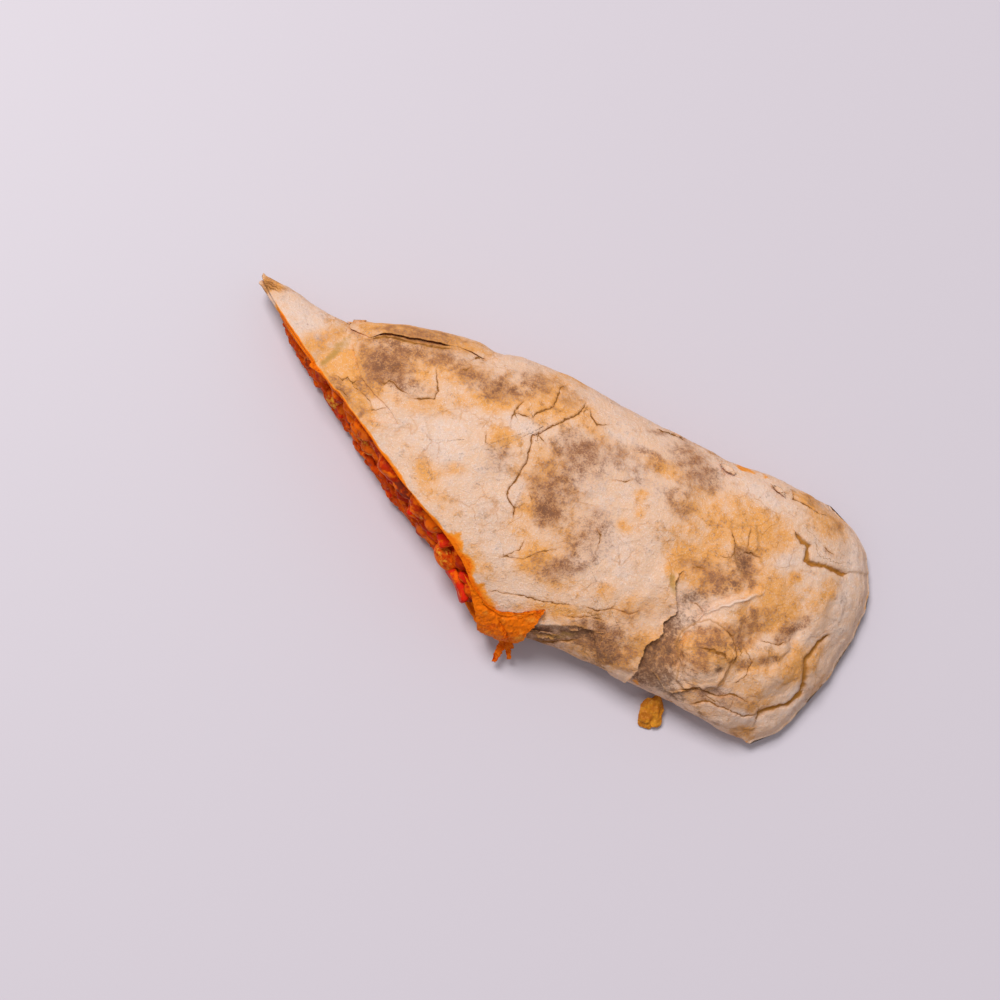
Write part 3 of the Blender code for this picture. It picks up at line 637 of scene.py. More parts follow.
def press_plates(points, pixels, seen, height):
    """Steps the plates of crust up or down in these heights, and gives a painted shadow along each plate's
    rim, wider on its low side.
    """
    rim = np.zeros(len(points))
    frayed = pixels + 1.3 * shake(points, 1.5, 2.6, 8.1)
    for *outline, soft, rise in PLATES_PX:
        near = close_to(outline, pixels, PLATE_MARGIN_PX, seen)
        if not len(near):
            continue
        away = nearest_on((*outline, outline[0]), frayed[near])[0] * MM_PER_PX
        into = np.where(inside(outline, frayed[near]), away, -away)
        height[near] += rise * ease(-soft, soft, into) * seen[near]
        # A painted shadow along the rim, wider on the low side of the step
        below = -into * math.copysign(1, rise)
        shade = np.exp(-((below / np.where(below > 0, 0.45, 0.15)) ** 2))
        rim[near] = np.maximum(rim[near], shade * min(1, 1.6 * abs(rise)) * seen[near])
    return rim


def press(points, normals):
    """Presses relief into a surface: gives the moved points, and marks for what is baked on them and for the
    light and shade painted on them.
    """
    pixels = camera.pixels(points)
    seen = camera.faces_it(normals)
    shaken = pixels + 2.0 * shake(points, 2.4, 3.1, 7.7) + 4.0 * shake(points, 8, 1.1, 5.7)
    height = np.zeros(len(points))
    gather, nearest, width = press_cracks(points, pixels, seen, height)
    for *line, half_width, rise in RIDGES_PX:
        away = nearest_on(line, shaken)[0]
        height += rise * np.exp(-((away * MM_PER_PX / half_width) ** 2)) * seen
    for x, y, reach, rise in BUMPS_PX:
        height += rise * np.exp(-(((shaken - (x, y)) ** 2).sum(axis=1)) / reach**2) * seen
    rim = press_plates(points, pixels, seen, height)
    shown = camera.faces_it(normals, -0.3, -0.05)
    marks = {name: patches(shaken, spots) * shown for name, spots in FINISHES_AND_PAINTED_LIGHT_PX.items()}
    marks["stain"] = patches(shaken, STAIN_PX) * camera.faces_it(normals, -0.1, 0.05)
    marks |= {"rim": rim, "crack_way": nearest, "crack_width": width * seen, "unseen": 1 - shown}
    return points + camera.slide(normals, gather) + normals * height[:, None], marks


def rumple(points):
    """The uneven height of baked dough: broad waves, blisters and crumbs."""
    return 0.42 * ripple(points, 8, 0.7) + 0.22 * ripple(points, 3.1, 4.2) + 0.1 * ripple(points, 1.2, 9.4)


# The least height of any point, so that nothing dips into what the part lies on
OFF_TABLE = 0.02


def finish_mesh(name, mesh, points, marks=None):
    """Puts places and marks on a finished mesh and makes it a piece."""
    points = np.maximum(points, (-np.inf, -np.inf, OFF_TABLE))
    mesh.vertices.foreach_set("co", ((points + ROLL_TO_FRAME) * MM).astype(np.float32).ravel())
    for mark, values in (marks or {}).items():
        mesh.attributes.new(mark, "FLOAT", "POINT").data.foreach_set("value", values.astype(np.float32))
    mesh.update()
    mesh.shade_smooth()
    obj = bpy.data.objects.new(name, mesh)
    bpy.context.scene.collection.objects.link(obj)
    return obj


def to_data(mesh, name):
    """Turns a bmesh into mesh data."""
    data = bpy.data.meshes.new(name)
    mesh.to_mesh(data)
    mesh.free()
    return data


def places_of(data, field="co"):
    """The places of a mesh's corners, or another field of theirs, one row for each."""
    values = np.empty(len(data.vertices) * 3, np.float32)
    data.vertices.foreach_get(field, values)
    return values.reshape(-1, 3).astype(float)


def shares_of(data):
    """Each corner's shares of the way across a unit grid, and its height."""
    return places_of(data) + (0.5, 0.5, 0)


def grid_mesh(name, across_x, across_y):
    """A flat grid mesh of that many faces each way, and each corner's shares."""
    mesh = bmesh.new()
    bmesh.ops.create_grid(mesh, x_segments=across_x, y_segments=across_y, size=0.5)
    data = to_data(mesh, name)
    return data, shares_of(data)


def slab_mesh(name, across_x, across_y):
    """A flat closed slab: a fine grid on top at height 1, and one half as fine below at height 0."""
    mesh = bmesh.new()
    bmesh.ops.create_grid(mesh, x_segments=across_x, y_segments=across_y, size=0.5)
    rims = [edge for edge in mesh.edges if edge.is_boundary]
    bmesh.ops.translate(mesh, vec=(0, 0, 1), verts=mesh.verts)
    swept = bmesh.ops.extrude_edge_only(mesh, edges=rims)
    lowered = [item for item in swept["geom"] if isinstance(item, bmesh.types.BMVert)]
    bmesh.ops.translate(mesh, vec=(0, 0, -1), verts=lowered)
    half_x, half_y = across_x // 2, across_y // 2
    under = bmesh.ops.create_grid(mesh, x_segments=half_x, y_segments=half_y, size=0.5)["verts"]
    coarse_rims = list({edge for vertex in under for edge in vertex.link_edges if edge.is_boundary})
    bmesh.ops.subdivide_edges(mesh, edges=coarse_rims, cuts=1)
    bmesh.ops.remove_doubles(mesh, verts=mesh.verts, dist=0.0001)
    bmesh.ops.recalc_face_normals(mesh, faces=mesh.faces)
    data = to_data(mesh, name)
    return data, shares_of(data)


def weld(obj, distance=0.00002):
    """Closes seams and poles and turns every face outwards."""
    mesh = bmesh.new()
    mesh.from_mesh(obj.data)
    bmesh.ops.remove_doubles(mesh, verts=mesh.verts, dist=distance)
    rims = [edge for edge in mesh.edges if edge.is_boundary]
    if rims:
        bmesh.ops.holes_fill(mesh, edges=rims, sides=0)
    bmesh.ops.recalc_face_normals(mesh, faces=mesh.faces)
    mesh.to_mesh(obj.data)
    mesh.free()
    obj.data.shade_smooth()
    return obj


def cut_stain(points, reach):
    """Sauce on the bread behind the cut, in uneven tongues: none at the tip, most at the near corner."""
    x = points[..., 0]
    reach = reach * (0.4 + 0.25 * ease(-62, -36, x) + 1.4 * ease(-24, -14, x))
    soaked = np.maximum(reach * (1 + 0.8 * ripple(points, 4.5, 2.2)), 0.15)
    return np.exp(-((np.maximum(behind_cut(points), 0) / soaked) ** 2)) * ease(-93, -86, x)


# How much further back along the roll the filling and the lower lips lie towards the sharp tip
KEPT_BEHIND = ((-98, 4.8), (-90, 4.0), (-84, 2.0), (-70, 1.5), (-58, 0.8), (-48, 0))


def kept_behind(x):
    return through(KEPT_BEHIND, x)


def lower_lip(turn):
    """1 on the underside of the roll and 0 on its top."""
    past_far_side = np.mod(turn + 0.1, 1.0)
    return 1 - ease(0.04, 0.13, past_far_side) + ease(0.7, 0.85, past_far_side)


def base_turn():
    """The roll under the last turn, a closed shell: its skin from fold to cut, its lip and its hollow."""
    outer_rows, lip_rows, inner_rows, around = 300, 4, 16, 290
    data, shares = grid_mesh("bread_base", outer_rows + lip_rows + inner_rows, around)
    row = shares[:, 0] * (outer_rows + lip_rows + inner_rows)
    turn = np.interp(shares[:, 1], (0, 0.74, 1), (0, 0.56, 1))
    lip_x = roll.cut_at(turn, 0.35 + 0.35 * ring_wobble(turn, 5, 3.3) + 0.2 * ring_wobble(turn, 1.2, 8.3))
    lip_x = lip_x + 0.8 * kept_behind(lip_x) * lower_lip(turn)
    fine_until, fine_share = 40.0, 0.56
    outer = np.clip(row / outer_rows, 0, 1)
    past = np.clip((outer - fine_share) / (1 - fine_share), 0, 1)
    near_fold = np.clip(outer / fine_share, 0, 1)
    x = FOLD_END - (FOLD_END - fine_until) * near_fold**1.15
    x = np.where(outer > fine_share, fine_until + (lip_x - fine_until) * past, x)
    inner = np.clip((row - outer_rows - lip_rows) / inner_rows, 0, 1)
    x = np.where(inner > 0, lip_x + (CAVITY_END - lip_x) * np.sin(inner * math.pi / 2), x)
    lip = np.clip((row - outer_rows) / lip_rows, 0, 1)
    points, normals = roll.surface(x, turn)
    uneven = 1.1 * wobble(points[:, 1], 9, 6.2) + 0.5 * wobble(points[:, 1], 3, 2.9)
    points[:, 0] += ease(88, FOLD_END, x) * uneven
    before_end = 1 - ease(FOLD_END - 4, FOLD_END - 0.3, x)
    pressed, marks = press(points + normals * ((rumple(points) - BASE_SUNK) * before_end)[:, None], normals)
    depth = BASE_SUNK + BASE_THICKNESS * (1 - np.cos(lip * math.pi)) / 2
    share = np.clip((x - CAVITY_ROUND_FROM) / (CAVITY_END - CAVITY_ROUND_FROM), 0, 1)
    station = np.clip((x - ROLL_START) / (FOLD_END - ROLL_START), 0, 1) * (STATIONS - 1)
    numbers = np.arange(STATIONS)
    middle = np.stack([np.interp(station, numbers, roll.middle[:, axis]) for axis in range(3)], axis=-1)
    hollow = points - normals * depth[:, None]
    hollow = middle + (hollow - middle) * np.sqrt(1 - share**2)[:, None]
    out = np.sin(lip * math.pi) * 0.35
    hollow += np.array((-0.55, -0.83, 0)) * (out * (inner == 0))[:, None]
    points = np.where((row <= outer_rows)[:, None], pressed, hollow)
    points[:, 2] = np.where(row <= outer_rows, np.maximum(points[:, 2], 0.0), points[:, 2])
    marks["stain"] = np.maximum(marks["stain"], cut_stain(points, 1.8))
    marks["edge"] = np.exp(-np.abs(row - outer_rows) / 3)
    return weld(finish_mesh("bread_base", data, points, marks))


def lining(number, top, bottom):
    """An inner turn of bread that shows as a thin line inside the cut: a closed ring a little way deep."""
    rows, lip_rows, around = 7, 3, 240
    name = f"bread_inner_turn_{number}"
    total = 2 * (rows + lip_rows)
    data, shares = grid_mesh(name, total, around)
    row, turn = shares[:, 0] * total, shares[:, 1]
    seed = 11.0 * number
    nicks = ring_wobble(turn, 6, seed) * 0.6 + ring_wobble(turn, 1.4, seed + 5) * 0.3
    lip_x = roll.cut_at(turn, 0.2 + 0.3 * number + nicks)
    lip_x = lip_x + 9 * (1 - ease(-96, -88, lip_x)) + kept_behind(lip_x) * lower_lip(turn)
    lip_x = lip_x + 4 * np.exp(-(((turn - 0.5) / 0.06) ** 2))
    back_x = roll.cut_at(turn, LINING_REACH)
    going = np.interp(row, (0, rows, rows + lip_rows, 2 * rows + lip_rows, total), (1, 0, 0, 1, 1))
    deep = np.interp(row, (0, rows, rows + lip_rows, 2 * rows + lip_rows, total), (0, 0, 1, 1, 0))
    x = lip_x + (back_x - lip_x) * going
    points, normals = roll.surface(x, turn)
    wave = 0.3 * ripple(points, 6, seed)
    points = points - normals * (top + (bottom - top) * deep + wave)[:, None]
    soaked = 0.2 + cut_stain(points, 3.5) * (0.75 + 0.9 * ripple(points, 5, seed))
    soaked = np.clip(np.maximum(soaked, lower_lip(turn)), 0, 1) * ease(-93, -86, points[:, 0])
    marks = {"stain": soaked, "unseen": np.ones(len(points))}
    marks["edge"] = (going == 0).astype(float)
    return weld(finish_mesh(name, data, points, marks))


def seen_line(pixels):
    """A line on the roll through pixels of the picture, as places along it and round it in millimetres."""
    return np.array([roll.spot(pixel) for pixel in pixels]) * (1, ROUND)


def on_roll(*spots):
    """A line on the roll through (distance along it, turn) spots."""
    return np.array(spots, float) * (1, ROUND)


def along_cut(low_turn, high_turn, behind):
    """A line along the cut from turn to turn, that far behind it."""
    turn = np.linspace(low_turn, high_turn, 120)
    return np.stack((roll.cut_at(turn, behind), turn * ROUND), axis=-1)


def torn(line, shares, deep, axis, seed):
    """Points at these shares of a line's length, torn along one axis into nicks about that deep."""
    walked = np.concatenate(([0.0], np.cumsum(np.hypot(*np.diff(line, axis=0).T))))
    at = shares * walked[-1]
    points = np.stack([np.interp(at, walked, line[:, side]) for side in (0, 1)], axis=-1)
    nicks = wobble(at, 5, seed) + 0.6 * np.abs(wobble(at, 1.9, seed + 3)) + 0.3 * wobble(at, 0.6, seed + 8)
    points[:, axis] += deep * nicks
    return points


class Sheet:
    """A thin piece of bread lying on the roll between four border lines.

    The low and high ones run left to right, and are straight where they aren't given. Each is torn by up to
    its own depth, in the order left, right, low, high.
    """

    def __init__(self, name, counts, torn_by, seed, left, right, low=None, high=None):
        self.name = name
        self.data, shares = slab_mesh(name, *counts)
        p, q, self.top = shares.T
        low = (left[0], right[0]) if low is None else low
        high = (left[-1], right[-1]) if high is None else high
        left, right, low, high = (np.array(line, float) for line in (left, right, low, high))
        along, round_it = np.linspace(0, 1, counts[0] + 1), np.linspace(0, 1, counts[1] + 1)
        left = torn(left, round_it, torn_by[0], 0, seed)
        right = torn(right, round_it, torn_by[1], 0, seed + 20)
        low = torn(low, along, torn_by[2], 1, seed + 40)
        high = torn(high, along, torn_by[3], 1, seed + 60)
        for line, start, end in ((low, left[0], right[0]), (high, left[-1], right[-1])):
            line += (1 - along)[:, None] * (start - line[0]) + along[:, None] * (end - line[-1])
        i, j = np.rint(p * counts[0]).astype(int), np.rint(q * counts[1]).astype(int)
        a, b = p[:, None], q[:, None]
        spots = (1 - b) * low[i] + b * high[i] + (1 - a) * left[j] + a * right[j]
        spots -= (1 - a) * ((1 - b) * left[0] + b * left[-1]) + a * ((1 - b) * right[0] + b * right[-1])
        self.x, self.turn = spots[:, 0], spots[:, 1] / ROUND
        wide, deep = np.hypot(*(right - left)[j].T), np.hypot(*(high - low)[i].T)
        self.to_left, self.to_right = p * wide, (1 - p) * wide
        self.to_low, self.to_high = q * deep, (1 - q) * deep
        self.skin, self.normals = roll.surface(self.x, self.turn)

    def finish(self, height, thickness, stain=0.0, lit=0.0):
        """Lays the sheet at that height over the skin, that thick, and less dark where lit."""
        points = self.skin + self.normals * (rumple(self.skin) + height + thickness * self.top)[:, None]
        pressed, marks = press(points, self.normals)
        under = self.top < 0.5
        pressed[under] = points[under] + 0.3 * (pressed - points)[under]
        # Where the sheet lies lit, less of the painted shade carried by the dark and toast marks
        marks["dark"] *= 1 - lit
        marks["toast_and_shade"] *= 1 - 0.6 * lit
        marks["stain"] = np.maximum(np.maximum(marks["stain"], cut_stain(self.skin, 1.3)), stain)
        nearest = np.minimum(np.minimum(self.to_left, self.to_right), np.minimum(self.to_low, self.to_high))
        marks["edge"] = np.exp(-((nearest / 0.7) ** 2))
        return weld(finish_mesh(self.name, self.data, pressed, marks), 1e-7)


LAST_TURN_LEFT_PX = (
    (369, 339), (355, 343), (353, 349), (356, 361), (361, 376), (367.7, 387.7), (377.6, 397.6), (388, 408),
    (397, 424),
)
LAST_TURN_RIGHT_PX = (
    (752, 468), (735, 500), (706, 540), (679, 569), (674, 588), (676, 608), (662, 623), (662, 632),
    (648, 641), (641, 655), (637, 668),
)
LAST_TURN_FAR_PX = (
    (369, 339), (384, 337), (398, 341), (416, 346), (436, 348), (452, 348), (475, 354), (490, 360),
)
LAST_TURN_NEAR_PX = ((506, 615), (521, 626), (540, 627), (553, 626), (566, 628), (590, 630), (606, 634))
SUNK_TURN = -0.045
LOW_TURN = 0.515


def last_turn():
    """The outermost turn: torn off at the left by the tip and at the right over the fold."""
    peeled, tear = seen_line(LAST_TURN_LEFT_PX), seen_line(LAST_TURN_RIGHT_PX)
    slit, rim = seen_line(LAST_TURN_FAR_PX), seen_line(LAST_TURN_NEAR_PX)
    left = np.concatenate((peeled, along_cut(peeled[-1, 1] / ROUND + 0.012, rim[0, 1] / ROUND, 0.1)))
    right = np.concatenate((on_roll((tear[0, 0], SUNK_TURN)), tear, on_roll((tear[-1, 0] - 1, LOW_TURN))))
    low = np.concatenate((slit, on_roll((-18, -0.02), (-5, SUNK_TURN), (right[0, 0], SUNK_TURN))))
    high = np.concatenate((rim, on_roll((rim[-1, 0] + 8, LOW_TURN), (right[-1, 0], LOW_TURN))))
    sheet = Sheet("bread_last_turn", (320, 240), (0.35, 1.5, 0.25, 0.6), 2.0, left, right, low, high)
    open_tear = ease(tear[3, 1] / ROUND - 0.02, tear[3, 1] / ROUND + 0.02, sheet.turn)
    peel = 1 - ease(peeled[-1, 1] / ROUND - 0.02, peeled[-1, 1] / ROUND + 0.01, sheet.turn)
    over_slit = 1 - ease(slit[-1, 0] - 12, slit[-1, 0] + 4, sheet.x)
    over_rim = 1 - ease(rim[-1, 0] - 4, rim[-1, 0] + 6, sheet.x)
    sunk = 1.9 * (1 - ease(0, 16, sheet.to_right)) * (1 - open_tear)
    low_sunk = 1.2 * (1 - ease(0, 6, sheet.to_low)) * (1 - over_slit)
    high_sunk = 1.0 * (1 - ease(0, 5, sheet.to_high)) * (1 - over_rim)
    sunk += low_sunk + high_sunk
    curl = 1.7 * np.exp(-sheet.to_right / 2.2) * open_tear
    curl *= 0.7 + 0.6 * wobble(sheet.turn * ROUND, 7, 1.0)
    lifted = 0.5 * np.exp(-sheet.to_left / 2.2) * peel + 0.1 * np.exp(-sheet.to_low / 2.6) * over_slit
    lifted += 0.8 * np.exp(-sheet.to_high / 2.0) * over_rim
    thickness = TURN_THICKNESS * (0.45 + 0.55 * ease(0, 3, np.minimum(sheet.to_right, sheet.to_left)))
    # The torn right edge lies lit, above the painted shade on the layers beside it
    lit = open_tear * np.exp(-((sheet.to_right / 9) ** 4))
    return sheet.finish(curl + lifted - sunk, thickness, lit=lit)


TIP_RIGHT_PX = ((352, 318), (346, 330), (342, 342), (333, 348), (321, 357), (313, 368))


def tip_plate():
    """The smooth pale piece of bread at the sharp tip, with its scorched and curled end."""
    edge = seen_line(TIP_RIGHT_PX)
    left = along_cut(-0.09, edge[-1, 1] / ROUND, 0.1)
    left[:, 0] += 0.9 * kept_behind(left[:, 0]) * lower_lip(left[:, 1] / ROUND)
    right = np.concatenate((on_roll((edge[0, 0], -0.09)), edge))
    sheet = Sheet("bread_tip", (90, 110), (0.3, 0.4, 0, 0.2), 12.0, left, right)
    lift = -0.3 * np.exp(-sheet.to_right / 1.5) - 1.2 * (1 - ease(0, 5, sheet.to_low))
    curled = np.exp(-(((sheet.x + 98.5) / 5) ** 2))
    lift += curled * (0.5 + 0.9 * np.abs(ripple(sheet.skin * (0.5, 1, 1), 1.4, 3.0)))
    return sheet.finish(lift, 0.8 * (0.08 + 0.92 * ease(0, 4, sheet.to_right)))


MIDDLE_LEFT_PX = ((350, 324), (344, 334), (336, 341), (326, 347), (315, 356), (309, 366))


def middle_plate():
    """The golden piece between the tip and the last turn."""
    edge, cover = seen_line(MIDDLE_LEFT_PX), seen_line(LAST_TURN_LEFT_PX)
    left = np.concatenate((edge, along_cut(edge[-1, 1] / ROUND + 0.005, cover[-1, 1] / ROUND + 0.02, 0.1)))
    right = cover + (5, 0)
    right[-1, 1] = left[-1, 1]
    sheet = Sheet("bread_by_tip", (70, 90), (0.35, 0, 0, 0), 22.0, left, right)
    return sheet.finish(-0.42, 0.3 + 0.45 * ease(3, 9, sheet.to_left))


FAR_STRIP_PX = (
    (349, 329), (358, 333.5), (369, 338), (384, 335.5), (402, 337.5), (422, 341.5), (439, 345), (452, 348),
    (475, 354), (492, 359),
)
HIDDEN_TURN = -0.1


def far_strip():
    """The strip of an earlier turn along the far side, whose near edge stands up over a slit."""
    lip = seen_line(FAR_STRIP_PX)
    left = on_roll((lip[0, 0] - 2, HIDDEN_TURN), lip[0] / (1, ROUND))
    right = on_roll((lip[-1, 0] + 3, HIDDEN_TURN), lip[-1] / (1, ROUND))
    sheet = Sheet("bread_far_strip", (150, 60), (0.6, 0.3, 0, 0.35), 51.0, left, right, high=lip)
    open_slit = ease(lip[2, 0], lip[3, 0], sheet.x) * (1 - ease(lip[6, 0], lip[7, 0], sheet.x))
    height = 0.2 + 0.3 * ease(lip[6, 0], lip[8, 0], sheet.x)
    height += 0.3 * np.exp(-sheet.to_high / 2.0) * open_slit
    height += 0.2 * np.exp(-sheet.to_high / 1.5) + 0.1 * np.exp(-sheet.to_left / 2.0)
    height -= 1.8 * (1 - ease(0, 6, sheet.to_low)) + 1.6 * (1 - ease(0, 7, sheet.to_right))
    rounded = ease(0, 2.5, np.minimum(sheet.to_high, sheet.to_left))
    return sheet.finish(height, 0.7 * (0.35 + 0.65 * rounded))


FLAP_RIDGE_PX = ((660, 600), (694, 619), (716, 608), (738, 600), (765, 588))
FLAP_EDGE_PX = (
    (650, 668), (666, 690), (678, 689.5), (693, 687.5), (706, 688), (723, 683), (728, 674), (733, 664),
)


def closing_flap():
    """The blistered flap that closes the roll on the near side, with its torn lower edge."""
    ridge, edge = seen_line(FLAP_RIDGE_PX) - (0, 4), seen_line(FLAP_EDGE_PX)
    left, right = (ridge[0], edge[0]), (ridge[-1], edge[-1])
    sheet = Sheet("bread_closing_flap", (190, 130), (0, 0, 0, 0.6), 31.0, left, right, ridge, edge)
    sunk = 1.5 * (1 - ease(0, 7, sheet.to_low)) + 1.7 * (1 - ease(0, 10, sheet.to_right))
    sunk += 1.2 * (1 - ease(0, 6, sheet.to_left))
    lift = 0.7 * np.exp(-sheet.to_high / 2.4) * ease(0, 8, sheet.to_right)
    return sheet.finish(lift - sunk - 0.05, 0.8 * (0.4 + 0.6 * ease(0, 2.5, sheet.to_high)))


CORNER_TIP_PX = (
    (478, 590), (486, 600), (499, 610), (520, 614), (545, 606), (539, 615), (530, 626), (521, 635),
    (513, 646), (507, 655),
)


def corner_flap():
    """The sauce-soaked flap at the near corner of the cut, with a pointed end."""
    edge = seen_line(CORNER_TIP_PX)
    left = along_cut(edge[0, 1] / ROUND - 0.02, 0.535, -0.3)
    left[:, 0] += 2.4 * ease(0.49, 0.535, left[:, 1] / ROUND)
    right = np.concatenate((edge, on_roll((edge[-1, 0] - 2, 0.535))))
    sheet = Sheet("bread_corner_flap", (120, 110), (0.4, 1.0, 0.3, 1.0), 41.0, left, right)
    lift = 0.6 + 0.9 * (1 - ease(0.47, 0.51, sheet.turn)) + 0.6 * np.exp(-sheet.to_right / 1.6)
    wrinkles = 0.5 * np.abs(ripple(sheet.skin * (0.7, 1, 1), 2.6, 6.0))
    lift += wrinkles + 0.45 * np.abs(ripple(sheet.skin, 1.3, 2.0))
    lift += 0.2 * ripple(sheet.skin, 0.6, 8.0) - 0.8 * (1 - ease(0, 3, sheet.to_high))
    stain = np.clip(0.9 - 0.6 * ripple(sheet.skin, 2.5, 8.0), 0.72, 1)
    rounded = ease(0, 2.0, np.minimum(sheet.to_right, sheet.to_high))
    return sheet.finish(lift - 0.1, 0.6 * (0.3 + 0.7 * rounded), stain)


# Loose flakes on the crust: the middle, half length and half width in pixels, the turn in degrees, and how
# far the ends curl up in millimetres
FLAKES_PX = (
    (357, 316, 9, 3, 8, 0.8), (672, 435, 12, 3, 24, 0.4), (726, 470, 9, 4, 26, 0.4),
    (778, 492, 9, 4, 30, 0.4), (600, 629, 9, 3, 10, 0.7), (575, 626, 8, 3, 5, 0.6), (543, 632, 14, 4, 2, 0.9),
)
# How high the flakes lie above the crust
FLAKE_LIES = 0.4


def flakes():
    """Small thin flakes of crust with torn outlines, half loose, that follow the bread under them."""
    parts, marks = [], []
    for number, (x, y, long_half, wide_half, angle, curl) in enumerate(FLAKES_PX):
        data, shares = slab_mesh("flake", 20, 14)
        along, across, top = 2 * shares[:, 0] - 1, 2 * shares[:, 1] - 1, shares[:, 2]
        ragged = 1 + 0.5 * wobble(np.arctan2(across, along) * 2, 0.9, number)
        ragged += 0.3 * wobble(along * 9 + across, 1.3, number)
        step_x = along * (1 - 0.25 * across**2) * ragged * long_half
        step_y = across * (1 - 0.35 * along**2) * ragged * wide_half
        cosine, sine = math.cos(math.radians(angle)), math.sin(math.radians(angle))
        step = np.stack((step_x * cosine - step_y * sine, step_x * sine + step_y * cosine), -1) * MM_PER_PX
        at_x, at_turn = (np.full(len(step), value) for value in roll.spot((x, y)))
        skin, normals = roll.surface(at_x, at_turn)
        level = unit(camera.axes[0] - normals * (normals @ camera.axes[0])[:, None])
        spread = np.maximum(np.abs(along), np.abs(across))
        high = FLAKE_LIES + curl * spread**3 * (along * math.cos(number) + 0.4 > 0) - 0.25 * (1 - spread)
        points = skin + level * step[:, :1] - np.cross(normals, level) * step[:, 1:]
        points += normals * (rumple(points) + high + 0.45 * (1 - 0.7 * spread) * top)[:, None]
        pressed, found = press(points, normals)
        found["stain"] = np.zeros(len(points))
        found["edge"] = spread**2
        parts.append((data, pressed))
        marks.append(found)
    joined = {mark: np.concatenate([found[mark] for found in marks]) for mark in marks[0]}
    return join_parts("bread_flakes", parts, joined)


# Shreds of the soaked edge that stick out: where each starts, where it ends, and its width at the start
SHREDS = (((9.3, -38, 9.3), (12.2, -43.2, 5.0), 2.2), ((8.6, -38, 9), (8.4, -45.4, 4.6), 2.6))


def shreds():
    """Torn strips under the soaked flap, narrower and thinner towards their ends."""
    parts = []
    for number, (start, end, width) in enumerate(SHREDS, 1):
        data, shares = slab_mesh("shred", 40, 16)
        p, q, top = shares.T
        start, end = np.array(start, float), np.array(end, float)
        way = unit(end - start)
        side = unit(np.cross((0, 0, 1.0), way))
        over = np.cross(way, side)
        ragged = 1 + 0.5 * wobble(p * 10, 1.8, number) + 0.3 * wobble(p * 10, 0.7, number + 5)
        wide = width * (0.5 - 0.3 * p**1.5) * ragged
        flat = start + (end - start) * p[:, None] + side * ((2 * q - 1) * wide)[:, None]
        bend = 0.5 * (2 * q - 1) ** 2 + 0.5 * np.sin(p * 5 + number)
        thick = (1.1 - 0.5 * p) * (1 - 0.75 * np.abs(2 * q - 1) ** 3)
        points = flat + over * (bend + thick * (top - 0.5))[:, None]
        points += side * ((2 * q - 1) * 0.7 * np.abs(wobble(p * 8 + q, 0.9, 4.0 * number)))[:, None]
        points += 0.9 * over * (ripple(flat, 1.3, 3.0 * number) + 0.5 * ripple(flat, 0.6, 7.0))[:, None]
        parts.append((data, points))
    return join_parts("bread_shreds", parts, {"stain": 0.9, "unseen": 1.0})


def join_parts(name, parts, marks):
    """Joins meshes and their places into one piece. A mark is one value or has one for each corner."""
    mesh = bmesh.new()
    for data, points in parts:
        data.vertices.foreach_set("co", points.astype(np.float32).ravel())
        mesh.from_mesh(data)
        bpy.data.meshes.remove(data)
    bmesh.ops.recalc_face_normals(mesh, faces=mesh.faces)
    points = np.concatenate([points for _, points in parts])
    marks = {mark: np.broadcast_to(value, len(points)) for mark, value in marks.items()}
    return finish_mesh(name, to_data(mesh, name), points, marks)


# A browned scrap that leaked out and leans on the near side, with a flat foot
SCRAP_CENTRE = (57.2, -40.9, 3.0)
SCRAP_SIZE = (6.8, 10.4, 3.0)
SCRAP_TILT = 24.0
SCRAP_FOOT = 0.6


def cheese_scrap():
    """The loose browned scrap: an uneven flat lump, pitted and crisp."""
    mesh = bmesh.new()
    bmesh.ops.create_icosphere(mesh, subdivisions=6, radius=0.5)
    for vertex in mesh.verts:
        vertex.co *= 1 + 0.45 * noise.noise(vertex.co * 3.1 + Vector((0.4, 2.2, 0.7)))
    bmesh.ops.scale(mesh, vec=SCRAP_SIZE, verts=mesh.verts)
    tilted = Matrix.Rotation(math.radians(SCRAP_TILT), 4, "X") @ Matrix.Rotation(0.25, 4, "Z")
    bmesh.ops.transform(mesh, matrix=tilted, verts=mesh.verts)
    bmesh.ops.translate(mesh, vec=SCRAP_CENTRE, verts=mesh.verts)
    for vertex in mesh.verts:
        vertex.co.z = max(vertex.co.z, SCRAP_FOOT)
    mesh.normal_update()
    points = np.array([vertex.co for vertex in mesh.verts])
    normals = np.array([vertex.normal for vertex in mesh.verts])
    points += normals * (0.3 * ripple(points, 1.7, 1.0) + 0.14 * ripple(points, 0.7, 5.0) - 0.15)[:, None]
    return finish_mesh("browned_cheese", to_data(mesh, "browned_cheese"), points)


# The filling's pieces at the cut: the room left round them, how far they stand out and how they are spaced
GAP = 0.35
WALL = 3.4
PIECE_STANDS_OUT = (0.0, 1.9)
PIECE_SPACING = 7.2
ROW_SPACING = 6.6
SEED = 11


def inner_span(x, y):
    """The lowest and highest places of the filling at a spot, before the top swells."""
    inset = WALL + GAP
    far, near = through(FAR_EDGE, x), through(NEAR_EDGE, x)
    share = np.minimum(1.0, np.abs(y - (far + near) / 2) / ((far - near) / 2 - inset))
    crown = through(CROWN, x)
    waist = WAIST * crown
    rise = (1 - share**UPPER_POWER) ** (1 / UPPER_POWER)
    fall = (1 - share**LOWER_POWER) ** (1 / LOWER_POWER)
    return waist - (waist - inset) * fall, waist + (crown - waist - inset) * rise


def cut_spot(x, height):
    """The place on the cut at x along the roll and that height, and the level way out of the cut."""
    slope = float(through(CUT_LINE, x + 0.5) - through(CUT_LINE, x - 0.5))
    outward = Vector((slope, -1, 0)).normalized()
    lean_out = (through(CROWN, x) / 2 - height) * math.tan(math.radians(through(CUT_LEAN, x)))
    return Vector((x, through(CUT_LINE, x), height)) + outward * float(lean_out), outward


